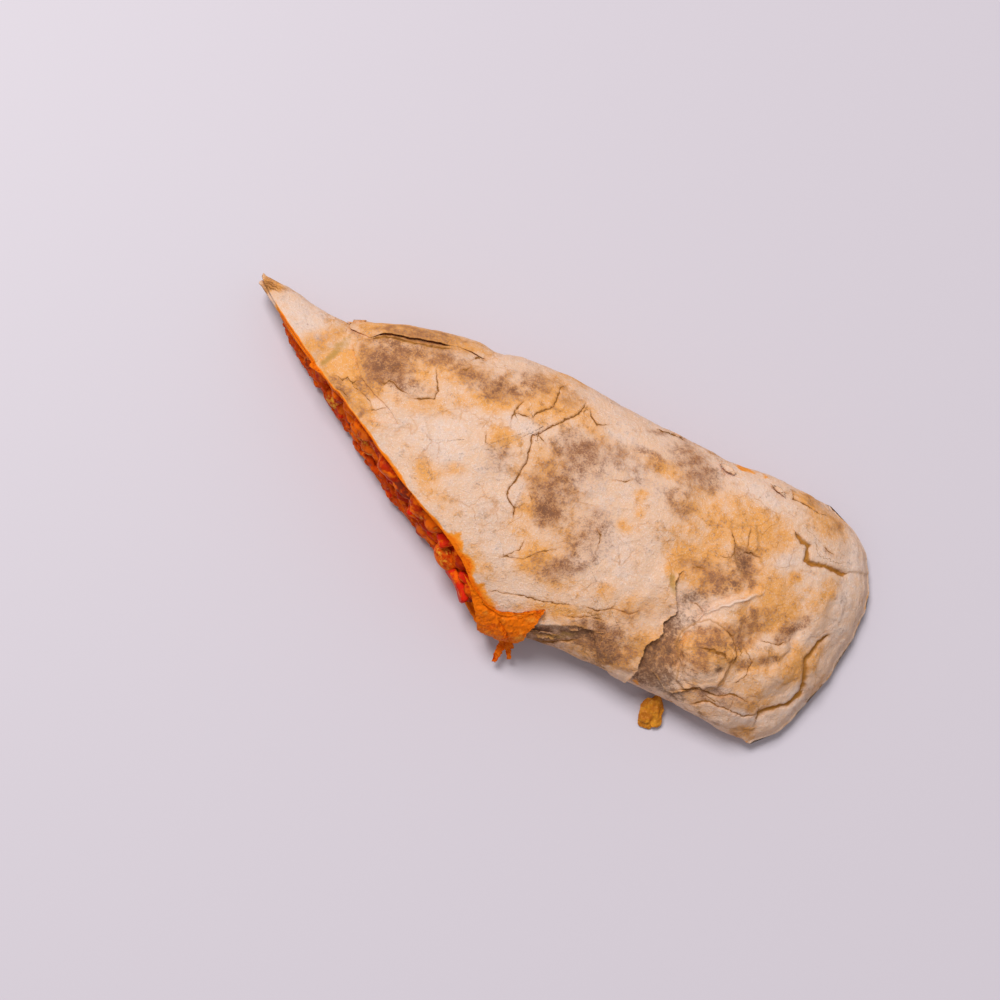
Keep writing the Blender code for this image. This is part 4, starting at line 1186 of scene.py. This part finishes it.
def moved(mesh, shape):
    """Gives every corner of a mesh the place that shape(its places) says."""
    places = shape(np.array([vertex.co for vertex in mesh.verts]))
    for vertex, place in zip(mesh.verts, places):
        vertex.co = place
    return mesh


def fine_ball():
    mesh = bmesh.new()
    bmesh.ops.create_icosphere(mesh, subdivisions=4, radius=1)
    return mesh


def rounded_block(size, rounding):
    """A finely divided block with rounded edges."""
    mesh = bmesh.new()
    bmesh.ops.create_cube(mesh, size=1)
    bmesh.ops.scale(mesh, vec=size, verts=mesh.verts)
    bmesh.ops.bevel(
        mesh,
        geom=mesh.edges,
        offset=rounding,
        offset_type="OFFSET",
        segments=3,
        affect="EDGES",
        profile=0.5,
        material=-1,
    )
    bmesh.ops.subdivide_edges(mesh, edges=mesh.edges, cuts=5, use_grid_fill=True)
    return mesh


def corn_kernel():
    """A sweetcorn kernel: a flat wedge with a rounded, dimpled crown."""

    def shape(ball):
        x, y, z = ball.T
        y = y * (0.8 - 0.2 * x)
        x = x - 0.12 * np.exp(-((x - 1) ** 2 + y**2 + z**2) / 0.12)
        return np.stack((x * 4.6, y * 4.6, z * 3.0), axis=-1)

    return moved(fine_ball(), shape)


def red_bean():
    """A kidney bean."""

    def shape(ball):
        x, y, z = ball.T
        y = y + 0.3 * x**2 + 0.12 * np.exp(-(x**2) / 0.15) * (y < 0)
        return np.stack((x * 6.4, y * 3.9, z * 3.5), axis=-1)

    return moved(fine_ball(), shape)


def chicken_chunk():
    """A chunk of chicken: torn along its grain, so its sides are ribbed with fibres."""

    def shape(block):
        fibres = np.stack((block[:, 0] * 0.12, block[:, 1], block[:, 2]), axis=-1)
        rough = 0.7 * ripple(fibres, 1.6, 2.0) + 0.35 * ripple(fibres, 0.7, 6.0)
        rough += 0.5 * ripple(block, 3.5, 1.0)
        return block + unit(block) * rough[:, None]

    return moved(rounded_block((12, 8.6, 7.6), 1.6), shape)


def pepper_piece():
    """A curved strip of sweet pepper with a smooth skin."""

    def shape(slab):
        x, y, z = slab.T
        return np.stack((x, y, z + 0.03 * x**2), axis=-1) + 0.15 * ripple(slab, 2.0, 4.0)[:, None]

    return moved(rounded_block((11, 7, 2.6), 1.1), shape)


# Kinds of piece: the maker, the name, how common it is and the least height of bread opening that it fits
PIECE_KINDS = (
    (corn_kernel, "sweetcorn", 4, 0),
    (red_bean, "red_beans", 3, 9),
    (chicken_chunk, "chicken", 5, 15),
    (pepper_piece, "sweet_pepper", 4, 13),
)
# Pieces shown at the lower end of the cut: the kind, the place along the roll, the height and how far the
# middle stands out of the cut
SHOWN_PIECES = ((corn_kernel, -16.4, 16.0, 0.9), (pepper_piece, -9.6, 13.5, 0.9))


def filling_spots():
    """Even steps along the cut, in rows: the place on the cut, the way out of it and the headroom."""
    steps = round((CUT_TO - CUT_FROM) / (PIECE_SPACING * math.cos(CUT_SLANT)))
    for step in range(steps):
        x = CUT_FROM + (CUT_TO - CUT_FROM) * (step + 0.5) / steps
        low, high = inner_span(x, float(through(CUT_LINE, x)))
        if high - low < 4.5:
            continue
        rows = max(1, round((high - low) / ROW_SPACING - 0.3))
        for row in range(rows):
            spot, outward = cut_spot(x, low + (high - low) * (row + 0.5) / rows)
            yield spot, outward, high - low


def filling_piece(draw, spot, outward, headroom):
    """A piece turned by chance and pushed in until it stands out of the cut by a small drawn distance."""
    kinds = [make for make, _, share, least in PIECE_KINDS for _ in range(share) if headroom > least]
    kind = draw.choice(kinds)
    mesh = kind()
    turned = Matrix.Rotation(draw.uniform(0, 2 * math.pi), 4, "Z")
    turned = turned @ Matrix.Rotation(draw.uniform(0, 2 * math.pi), 4, "X")
    turned = turned @ Matrix.Scale(draw.uniform(0.85, 1.1), 4)
    bmesh.ops.transform(mesh, matrix=turned, verts=mesh.verts)
    reach = max(vertex.co.dot(outward) for vertex in mesh.verts)
    along = Vector((-outward.y, outward.x, 0)) * draw.uniform(-1.2, 1.2)
    centre = spot + along + outward * (draw.uniform(*PIECE_STANDS_OUT) - reach)
    centre.x += float(kept_behind(spot.x))
    bmesh.ops.translate(mesh, vec=centre, verts=mesh.verts)
    return kind, mesh


def press_inside(points):
    """Keeps the filling's pieces between the bread's walls."""
    x, y = points[:, 0], points[:, 1]
    low, high = inner_span(x, y)
    ceiling = np.maximum(high + swell(x, y), low + 0.5)
    points[:, 2] = np.clip(points[:, 2], low + lift_at_rest(x, y), ceiling)
    return points


def shown_piece(kind, x, height, stands_out):
    """A piece that lies flat against the cut."""
    spot, outward = cut_spot(x, height)
    mesh = kind()
    laid = Matrix.Translation(spot + outward * stands_out)
    laid = laid @ outward.to_track_quat("Z", "Y").to_matrix().to_4x4()
    bmesh.ops.transform(mesh, matrix=laid, verts=mesh.verts)
    return kind, mesh


def filling_pieces():
    """The chicken, beans, sweetcorn and pepper that show at the cut, one mesh for each kind."""
    draw = random.Random(SEED)
    made = [filling_piece(draw, *place) for place in filling_spots()]
    made += [shown_piece(*shown) for shown in SHOWN_PIECES]
    pieces = []
    for kind, name, _, _ in PIECE_KINDS:
        joined = bmesh.new()
        for data in [to_data(mesh, "piece") for made_kind, mesh in made if made_kind is kind]:
            joined.from_mesh(data)
            bpy.data.meshes.remove(data)
        points = press_inside(np.array([vertex.co for vertex in joined.verts]))
        bmesh.ops.recalc_face_normals(joined, faces=joined.faces)
        pieces.append(finish_mesh(name, to_data(joined, name), points))
    return pieces


# Lumps of sauce along the lower lip: how many, and the least and greatest size in millimetres
LUMPS = 380
LUMP_SIZE = (0.5, 1.35)


def sauce_lumps():
    """Sauce and crumbs of filling that cling to the lower lip of the cut, melted into one another."""
    draw = random.Random(SEED + 1)
    mesh = bmesh.new()
    for _ in range(LUMPS):
        x = draw.uniform(CUT_FROM, CUT_TO - 3)
        low, high = inner_span(x, float(through(CUT_LINE, x)))
        spot, outward = cut_spot(x, draw.uniform(3.2, low + 0.35 * (high - low)))
        size = draw.uniform(*LUMP_SIZE)
        spot = spot + outward * draw.uniform(-1.2, 0.9 - 0.5 * size)
        spot.x += float(kept_behind(x))
        shape = Matrix.Translation(spot)
        shape = shape @ outward.to_track_quat("Y", "Z").to_matrix().to_4x4()
        shape = shape @ Matrix.Rotation(draw.uniform(-0.5, 0.5), 4, "Y")
        shape = shape @ Matrix.Diagonal((size * draw.uniform(1.0, 2.6), size, size * 0.9, 1))
        bmesh.ops.create_icosphere(mesh, subdivisions=2, radius=1, matrix=shape)
    return melted("sauce", mesh, 0.4, (0.0, 0.3, 0.2), 60)


def melted(name, mesh, voxel, roughness, behind, pulled=False):
    """Melts a mesh in roll millimetres into one skin, roughened in three sizes of bump close to the cut.

    Where pulled, its face at the cut lies back with the lower lips.
    """
    obj = bpy.data.objects.new("melting", to_data(mesh, name))
    bpy.context.scene.collection.objects.link(obj)
    melt = obj.modifiers.new("melt", "REMESH")
    melt.mode = "VOXEL"
    melt.voxel_size = voxel
    bpy.context.view_layer.update()
    data = bpy.data.meshes.new_from_object(obj.evaluated_get(bpy.context.evaluated_depsgraph_get()))
    bpy.data.objects.remove(obj)
    data.name = name
    points, normals = places_of(data), places_of(data, "normal")
    at_cut = 1 - ease(behind, behind + 7, behind_cut(points))
    bumps = sum(deep * ripple(points, size, 3.0 * size) for deep, size in zip(roughness, (3.2, 1.5, 0.7)))
    points += normals * (bumps * at_cut)[:, None]
    if pulled:
        points[:, 0] += kept_behind(points[:, 0]) * at_cut
    return finish_mesh(name, data, points)


def filling_core():
    """The saucy mass that runs through the roll, softened, with its face at the cut roughened."""
    mesh = bmesh.new()
    mesh.from_mesh(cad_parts["filling"].data)
    bmesh.ops.remove_doubles(mesh, verts=mesh.verts, dist=0.00001)
    to_roll = Matrix.Translation(-Vector(ROLL_TO_FRAME)) @ Matrix.Scale(1 / MM, 4)
    bmesh.ops.transform(mesh, matrix=to_roll, verts=mesh.verts)
    return melted("saucy_filling", mesh, 0.9, (0.55, 0.45, 0.15), 5, pulled=True)


# Shader maths


class Value:
    """A shader socket in an expression: sums and products of it add their Math nodes."""

    def __init__(self, paint, socket):
        self.paint, self.socket = paint, socket

    def math(self, operation, *operands):
        return self.paint.node("ShaderNodeMath", {"operation": operation}, dict(enumerate(operands)))

    def __add__(self, other):
        return self.math("ADD", self, other)

    __radd__ = __add__

    def __sub__(self, other):
        return self.math("SUBTRACT", self, other)

    def __rsub__(self, other):
        return self.math("SUBTRACT", other, self)

    def __mul__(self, other):
        return self.math("MULTIPLY", self, other)

    __rmul__ = __mul__

    def __truediv__(self, other):
        return self.math("DIVIDE", self, other)

    def size(self):
        return self.math("ABSOLUTE", self)

    def most(self, other):
        return self.math("MAXIMUM", self, other)

    def ease(self, low, high):
        """0 below low, 1 above high and smooth between them."""
        inputs = {"Value": self, "From Min": low, "From Max": high}
        return self.paint.node("ShaderNodeMapRange", {"interpolation_type": "SMOOTHSTEP"}, inputs)


class Paint:
    """One material in the making."""

    def __init__(self, name, **uniform):
        self.material = bpy.data.materials.new(name)
        self.material.use_nodes = True
        self.tree = self.material.node_tree
        self.surface = self.tree.nodes["Principled BSDF"]
        for socket, value in uniform.items():
            label = socket.replace("_", " ").title().replace("Ior", "IOR")
            self.surface.inputs[label].default_value = value
        self.place = self.node("ShaderNodeTexCoord", {}, {}, "Object")

    def node(self, kind, settings, inputs, output=0):
        """Any node: its type, its settings, and the values or links of its sockets."""
        node = self.tree.nodes.new(kind)
        for name, value in settings.items():
            setattr(node, name, value)
        for key, value in inputs.items():
            if isinstance(value, Value):
                self.tree.links.new(value.socket, node.inputs[key])
            else:
                node.inputs[key].default_value = value
        return Value(self, node.outputs[output])

    def noise(self, scale, detail, roughness):
        inputs = {"Vector": self.place, "Scale": scale, "Detail": detail, "Roughness": roughness}
        return self.node("ShaderNodeTexNoise", {}, inputs, "Fac")

    def warped(self, by, scale):
        """The place on the piece, shaken by a noise."""
        inputs = {"Vector": self.place, "Scale": scale, "Detail": 2.0}
        shaken = self.node("ShaderNodeTexNoise", {}, inputs, "Color")
        middle = (0.5, 0.5, 0.5)
        centred = self.node("ShaderNodeVectorMath", {"operation": "SUBTRACT"}, {0: shaken, 1: middle})
        scaled = self.node("ShaderNodeVectorMath", {"operation": "SCALE"}, {0: centred, "Scale": by})
        return self.node("ShaderNodeVectorMath", {"operation": "ADD"}, {0: self.place, 1: scaled})

    def mark(self, name):
        return self.node("ShaderNodeAttribute", {"attribute_name": name}, {}, "Fac")

    def mix(self, share, under, over):
        """A colour that goes from one to another."""
        wrap = [colour if isinstance(colour, Value) else (*colour, 1.0) for colour in (under, over)]
        return self.node("ShaderNodeMix", {"data_type": "RGBA"}, {0: share, 6: wrap[0], 7: wrap[1]}, 2)

    def bump(self, height, strength, distance):
        inputs = {"Height": height, "Strength": strength, "Distance": distance}
        return self.node("ShaderNodeBump", {}, inputs)

    def join(self, **sockets):
        for socket, value in sockets.items():
            self.tree.links.new(value.socket, self.surface.inputs[socket.replace("_", " ").title()])
        return self.material


# Colours of the bread, from floury and baked to scorched and soaked, with a dark brown used for dark layers
# and painted shade
CREAM = (0.78, 0.49, 0.325)
FLOUR = (0.78, 0.57, 0.465)
DUST = (0.90, 0.72, 0.65)
GOLDEN = (0.80, 0.36, 0.10)
DEEP_GOLD = (0.55, 0.205, 0.04)
BAKED = (0.46, 0.21, 0.09)
TOAST = (0.28, 0.112, 0.057)
SCORCH = (0.19, 0.073, 0.036)
DARK_LAYER_AND_SHADE = (0.20, 0.10, 0.058)
CRACK_AND_SHADOW_BROWN = (0.42, 0.19, 0.055)
CRACK_DEEP = (0.28, 0.11, 0.025)
OLIVE_TAN = (0.47, 0.255, 0.07)
AMBER = (0.46, 0.185, 0.035)
SAUCE_STAIN = (0.90, 0.18, 0.003)
DEEP_STAIN = (0.62, 0.062, 0.002)
THIN_STAIN = (0.86, 0.31, 0.035)


def bread_paint():
    """Floury bread: mottled, toasted and scorched in patches, brown in its cracks and soaked by the cut, with
    painted shade and painted light in patches.
    """
    paint = Paint("floury_flatbread", roughness=0.8, subsurface_weight=0.05, subsurface_scale=0.0012)
    paint.surface.inputs["Subsurface Radius"].default_value = (1.0, 0.5, 0.25)
    paint.surface.inputs["Specular IOR Level"].default_value = 0.05
    grain = paint.noise(2700, 2.0, 0.6) - 0.5
    speckle = paint.noise(1500, 3.0, 0.65) - 0.5
    mottle = paint.noise(330, 4.0, 0.6) - 0.5
    patch = paint.noise(95, 4.0, 0.55) - 0.5
    blotch = paint.noise(42, 2.0, 0.5) - 0.5
    unseen = paint.mark("unseen")
    toast_and_shade = paint.mark("toast_and_shade") + unseen * (blotch + mottle * 0.5).ease(0.03, 0.22) * 0.8
    golden = paint.mark("golden") + unseen * (patch + mottle * 0.5).ease(-0.08, 0.25) * 0.8
    pale = paint.mark("pale") + unseen * (0 - blotch).ease(0.0, 0.2) * 0.6
    edge = paint.mark("edge")
    torn_layers = {"Vector": paint.warped(0.005, 300), "Scale": 250.0}
    layer = paint.node("ShaderNodeTexVoronoi", {}, torn_layers, "Color")
    layer = paint.node("ShaderNodeSeparateColor", {}, {"Color": layer}) - 0.5
    base = paint.mix((mottle + patch * 0.5 + layer * 0.25).ease(-0.14, 0.14) * 0.6, CREAM, FLOUR)
    gilded = golden + patch * 1.2 + mottle * 1.3 + layer * 0.3 - pale * 0.4
    base = paint.mix(gilded.ease(0.0, 0.85), base, GOLDEN)
    baked = golden * 0.8 + toast_and_shade * 0.4 + mottle * 2.2 + speckle * 1.0
    base = paint.mix(baked.ease(0.55, 1.25) * 0.85, base, DEEP_GOLD)
    # Floury patches, and painted light on the fold end and lit crests, from the pale mark
    base = paint.mix((pale * 0.9 + mottle * 1.8).ease(0.25, 0.95) * 0.75, base, FLOUR)
    # Toasted browning, and the painted shade of the near side and left of the blister, which the toast mark
    # also carries
    base = paint.mix((toast_and_shade + mottle * 1.0 + patch * 0.8).ease(0.05, 0.9) * 0.88, base, BAKED)
    base = paint.mix((speckle + grain).ease(0.02, 0.2) * (0.5 - golden * 0.28), base, DUST)
    toasted = toast_and_shade.ease(0.05, 0.5)
    charred = toast_and_shade * 0.45 + grain * 1.8 + speckle * 1.8 + mottle * 1.8
    base = paint.mix(charred.ease(0.0, 0.55) * toasted * 0.62, base, TOAST)
    base = paint.mix((charred + toast_and_shade * 0.6).ease(0.75, 1.3) * toasted * 0.7, base, SCORCH)
    base = paint.mix((speckle * 1.2 - grain * 0.5).ease(0.12, 0.3) * 0.3, base, DEEP_GOLD)
    # Dark inner layers and scorched edges, and painted shade where the dark mark says so
    dark = paint.mark("dark") + mottle * 1.6 + speckle * 1.4 + layer * 0.4
    base = paint.mix(dark.ease(0.1, 1.0) * 0.85, base, DARK_LAYER_AND_SHADE)
    # Olive inner bread, and painted shade in the recesses it marks
    base = paint.mix((paint.mark("olive") + mottle * 1.2).ease(0.25, 0.9) * 0.85, base, OLIVE_TAN)
    base = paint.mix(edge * mottle.ease(-0.1, 0.1) * 0.45, base, GOLDEN)
    # A painted shadow along the plates' rims, in the brown of the cracks
    base = paint.mix(paint.mark("rim") * 0.6, base, CRACK_AND_SHADOW_BROWN)
    width = paint.mark("crack_width").most(0.001)
    off_line = (paint.mark("crack_way") + speckle * 0.3).size()
    line = 1 - (off_line / width).ease(0.5, 1.1)
    bottom = paint.mix(width.ease(0.35, 0.5), CRACK_DEEP, AMBER)
    base = paint.mix((1 - (off_line / (width + 0.35)).ease(0.4, 1.2)) * 0.3, base, DEEP_GOLD)
    base = paint.mix(line * 0.9, base, CRACK_AND_SHADOW_BROWN)
    base = paint.mix(1 - (off_line / width).ease(0.3, 0.75), base, bottom)
    cells = {"Vector": paint.warped(0.004, 260), "Scale": 120.0}
    to_edge = paint.node("ShaderNodeTexVoronoi", {"feature": "DISTANCE_TO_EDGE"}, cells)
    hairline = (1 - to_edge.ease(0.0, 0.045)) * patch.ease(-0.02, 0.1)
    base = paint.mix(hairline * 0.3, base, DEEP_GOLD)
    stain = paint.mark("stain") + mottle * 1.1
    soak = stain.ease(0.22, 0.5)
    sauce = paint.mix((patch * 2 + speckle).ease(0.05, 0.5), SAUCE_STAIN, DEEP_STAIN)
    base = paint.mix(soak, base, paint.mix(stain.ease(0.4, 0.85), THIN_STAIN, sauce))
    flaky = mottle * 1.1 + speckle * 0.8 + grain * 0.4 + layer * 0.22 - line * 0.4 - hairline * 0.25
    return paint.join(base_color=base, roughness=0.84 - soak * 0.35, normal=paint.bump(flaky, 0.75, 0.0005))


# Colours of the sauce, and the colour of each kind of filling with how much sauce is smeared over it
SAUCE_ORANGE = (0.88, 0.15, 0.004)
SAUCE_RED = (0.45, 0.025, 0.003)
SAUCE_DEEP = (0.60, 0.062, 0.003)
KIND_COLOURS = {
    "sweetcorn": ((0.84, 0.38, 0.035), 0.2),
    "red_beans": ((0.20, 0.03, 0.012), 0.12),
    "chicken": ((0.66, 0.30, 0.11), 0.26),
    "sweet_pepper": ((0.66, 0.02, 0.006), 0.08),
    "saucy_filling": (SAUCE_RED, 0.3),
    "sauce": (SAUCE_DEEP, 0.06),
}


def saucy_paint(name, colour, smear):
    """A moist piece of filling, smeared with sauce."""
    paint = Paint(name, roughness=0.42, ior=1.1, subsurface_weight=0.15, subsurface_scale=0.002)
    paint.surface.inputs["Subsurface Radius"].default_value = (1.0, 0.35, 0.15)
    cloudy = paint.noise(260, 3.0, 0.6)
    fine = paint.noise(900, 3.0, 0.6)
    sauce = paint.mix(cloudy.ease(0.42, 0.62), SAUCE_RED, SAUCE_ORANGE)
    base = paint.mix((cloudy * 0.7 + fine * 0.5).ease(0.62 - smear, 0.82 - smear), colour, sauce)
    return paint.join(base_color=base, normal=paint.bump(fine, 0.25, 0.0004))


SCRAP_ORANGE = (0.72, 0.28, 0.02)
SCRAP_BROWN = (0.42, 0.125, 0.008)
SCRAP_PALE = (0.86, 0.44, 0.09)


def scrap_paint():
    """Crisp browned cheese."""
    paint = Paint("browned_cheese", roughness=0.55, subsurface_weight=0.1, subsurface_scale=0.001)
    paint.surface.inputs["Specular IOR Level"].default_value = 0.12
    blotch = paint.noise(300, 3.0, 0.6)
    fine = paint.noise(1100, 2.0, 0.6)
    base = paint.mix(blotch.ease(0.35, 0.65), SCRAP_ORANGE, SCRAP_BROWN)
    base = paint.mix(fine.ease(0.55, 0.75) * 0.6, base, SCRAP_PALE)
    return paint.join(base_color=base, normal=paint.bump(fine, 0.4, 0.0004))


def settle_piece(piece, material, node):
    """Gives a piece its material and its place in the part."""
    piece.data.materials.clear()
    piece.data.materials.append(material)
    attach(piece, "root")
    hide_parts(node)


def main():
    bread = bread_paint()
    breads = [base_turn(), last_turn(), tip_plate(), middle_plate(), far_strip()]
    breads += [closing_flap(), corner_flap(), shreds(), flakes()]
    breads += [lining(number, top, bottom) for number, (top, bottom) in enumerate(LINING_DEPTHS, 1)]
    for piece in breads:
        settle_piece(piece, bread, "flatbread")
    for piece in [filling_core(), sauce_lumps(), *filling_pieces()]:
        settle_piece(piece, saucy_paint(piece.name, *KIND_COLOURS[piece.name]), "filling")
    settle_piece(cheese_scrap(), scrap_paint(), "cheese_scrap")
    make_stage()


FLOOR_SIZE = 1.6
FLOOR_COLOUR = (0.605, 0.545, 0.60, 1)
ROOM_COLOUR = (0.97, 0.975, 1.0, 1)
ROOM_STRENGTH = 0.4
# The window's place to the right, up and back as the camera sees it, in metres, and its size and power
WINDOW_PLACE = (-0.6, 1.9, 3.6)
WINDOW_SIZE = 1.6
WINDOW_POWER = 139.0


def make_stage():
    """A plain pale floor, soft studio light from the upper left, and the camera."""
    mesh = bmesh.new()
    bmesh.ops.create_grid(mesh, x_segments=1, y_segments=1, size=FLOOR_SIZE)
    data = to_data(mesh, "floor")
    floor = bpy.data.objects.new("floor", data)
    bpy.context.scene.collection.objects.link(floor)
    floor_paint = Paint("pale_floor", roughness=0.5)
    floor_paint.surface.inputs["Base Color"].default_value = FLOOR_COLOUR
    data.materials.append(floor_paint.material)
    world = bpy.data.worlds.new("studio")
    world.use_nodes = True
    world.node_tree.nodes["Background"].inputs["Color"].default_value = ROOM_COLOUR
    world.node_tree.nodes["Background"].inputs["Strength"].default_value = ROOM_STRENGTH
    bpy.context.scene.world = world
    lamp = bpy.data.lights.new("window_light", "AREA")
    lamp.shape = "DISK"
    lamp.size = WINDOW_SIZE
    lamp.energy = WINDOW_POWER
    light = bpy.data.objects.new("window_light", lamp)
    right, up, back = WINDOW_PLACE
    way = camera.right * right + camera.up * up + camera.back * back
    light.matrix_world = Matrix.Translation(way) @ way.to_track_quat("Z", "Y").to_matrix().to_4x4()
    bpy.context.scene.collection.objects.link(light)
    seen = bpy.data.objects.new("camera", bpy.data.cameras.new("camera"))
    seen.data.sensor_width = SENSOR
    seen.data.lens = SENSOR * CAMERA_DISTANCE / SEEN_WIDTH
    seen.data.clip_start = 0.01
    place = (np.array(camera.place) + ROLL_TO_FRAME) * MM
    axes = Matrix((camera.right, camera.up, camera.back)).transposed().to_4x4()
    seen.matrix_world = Matrix.Translation(place) @ axes
    bpy.context.scene.collection.objects.link(seen)
    bpy.context.scene.camera = seen
    bpy.context.scene.view_settings.view_transform = "Standard"


main()
bpy.context.view_layer.update()
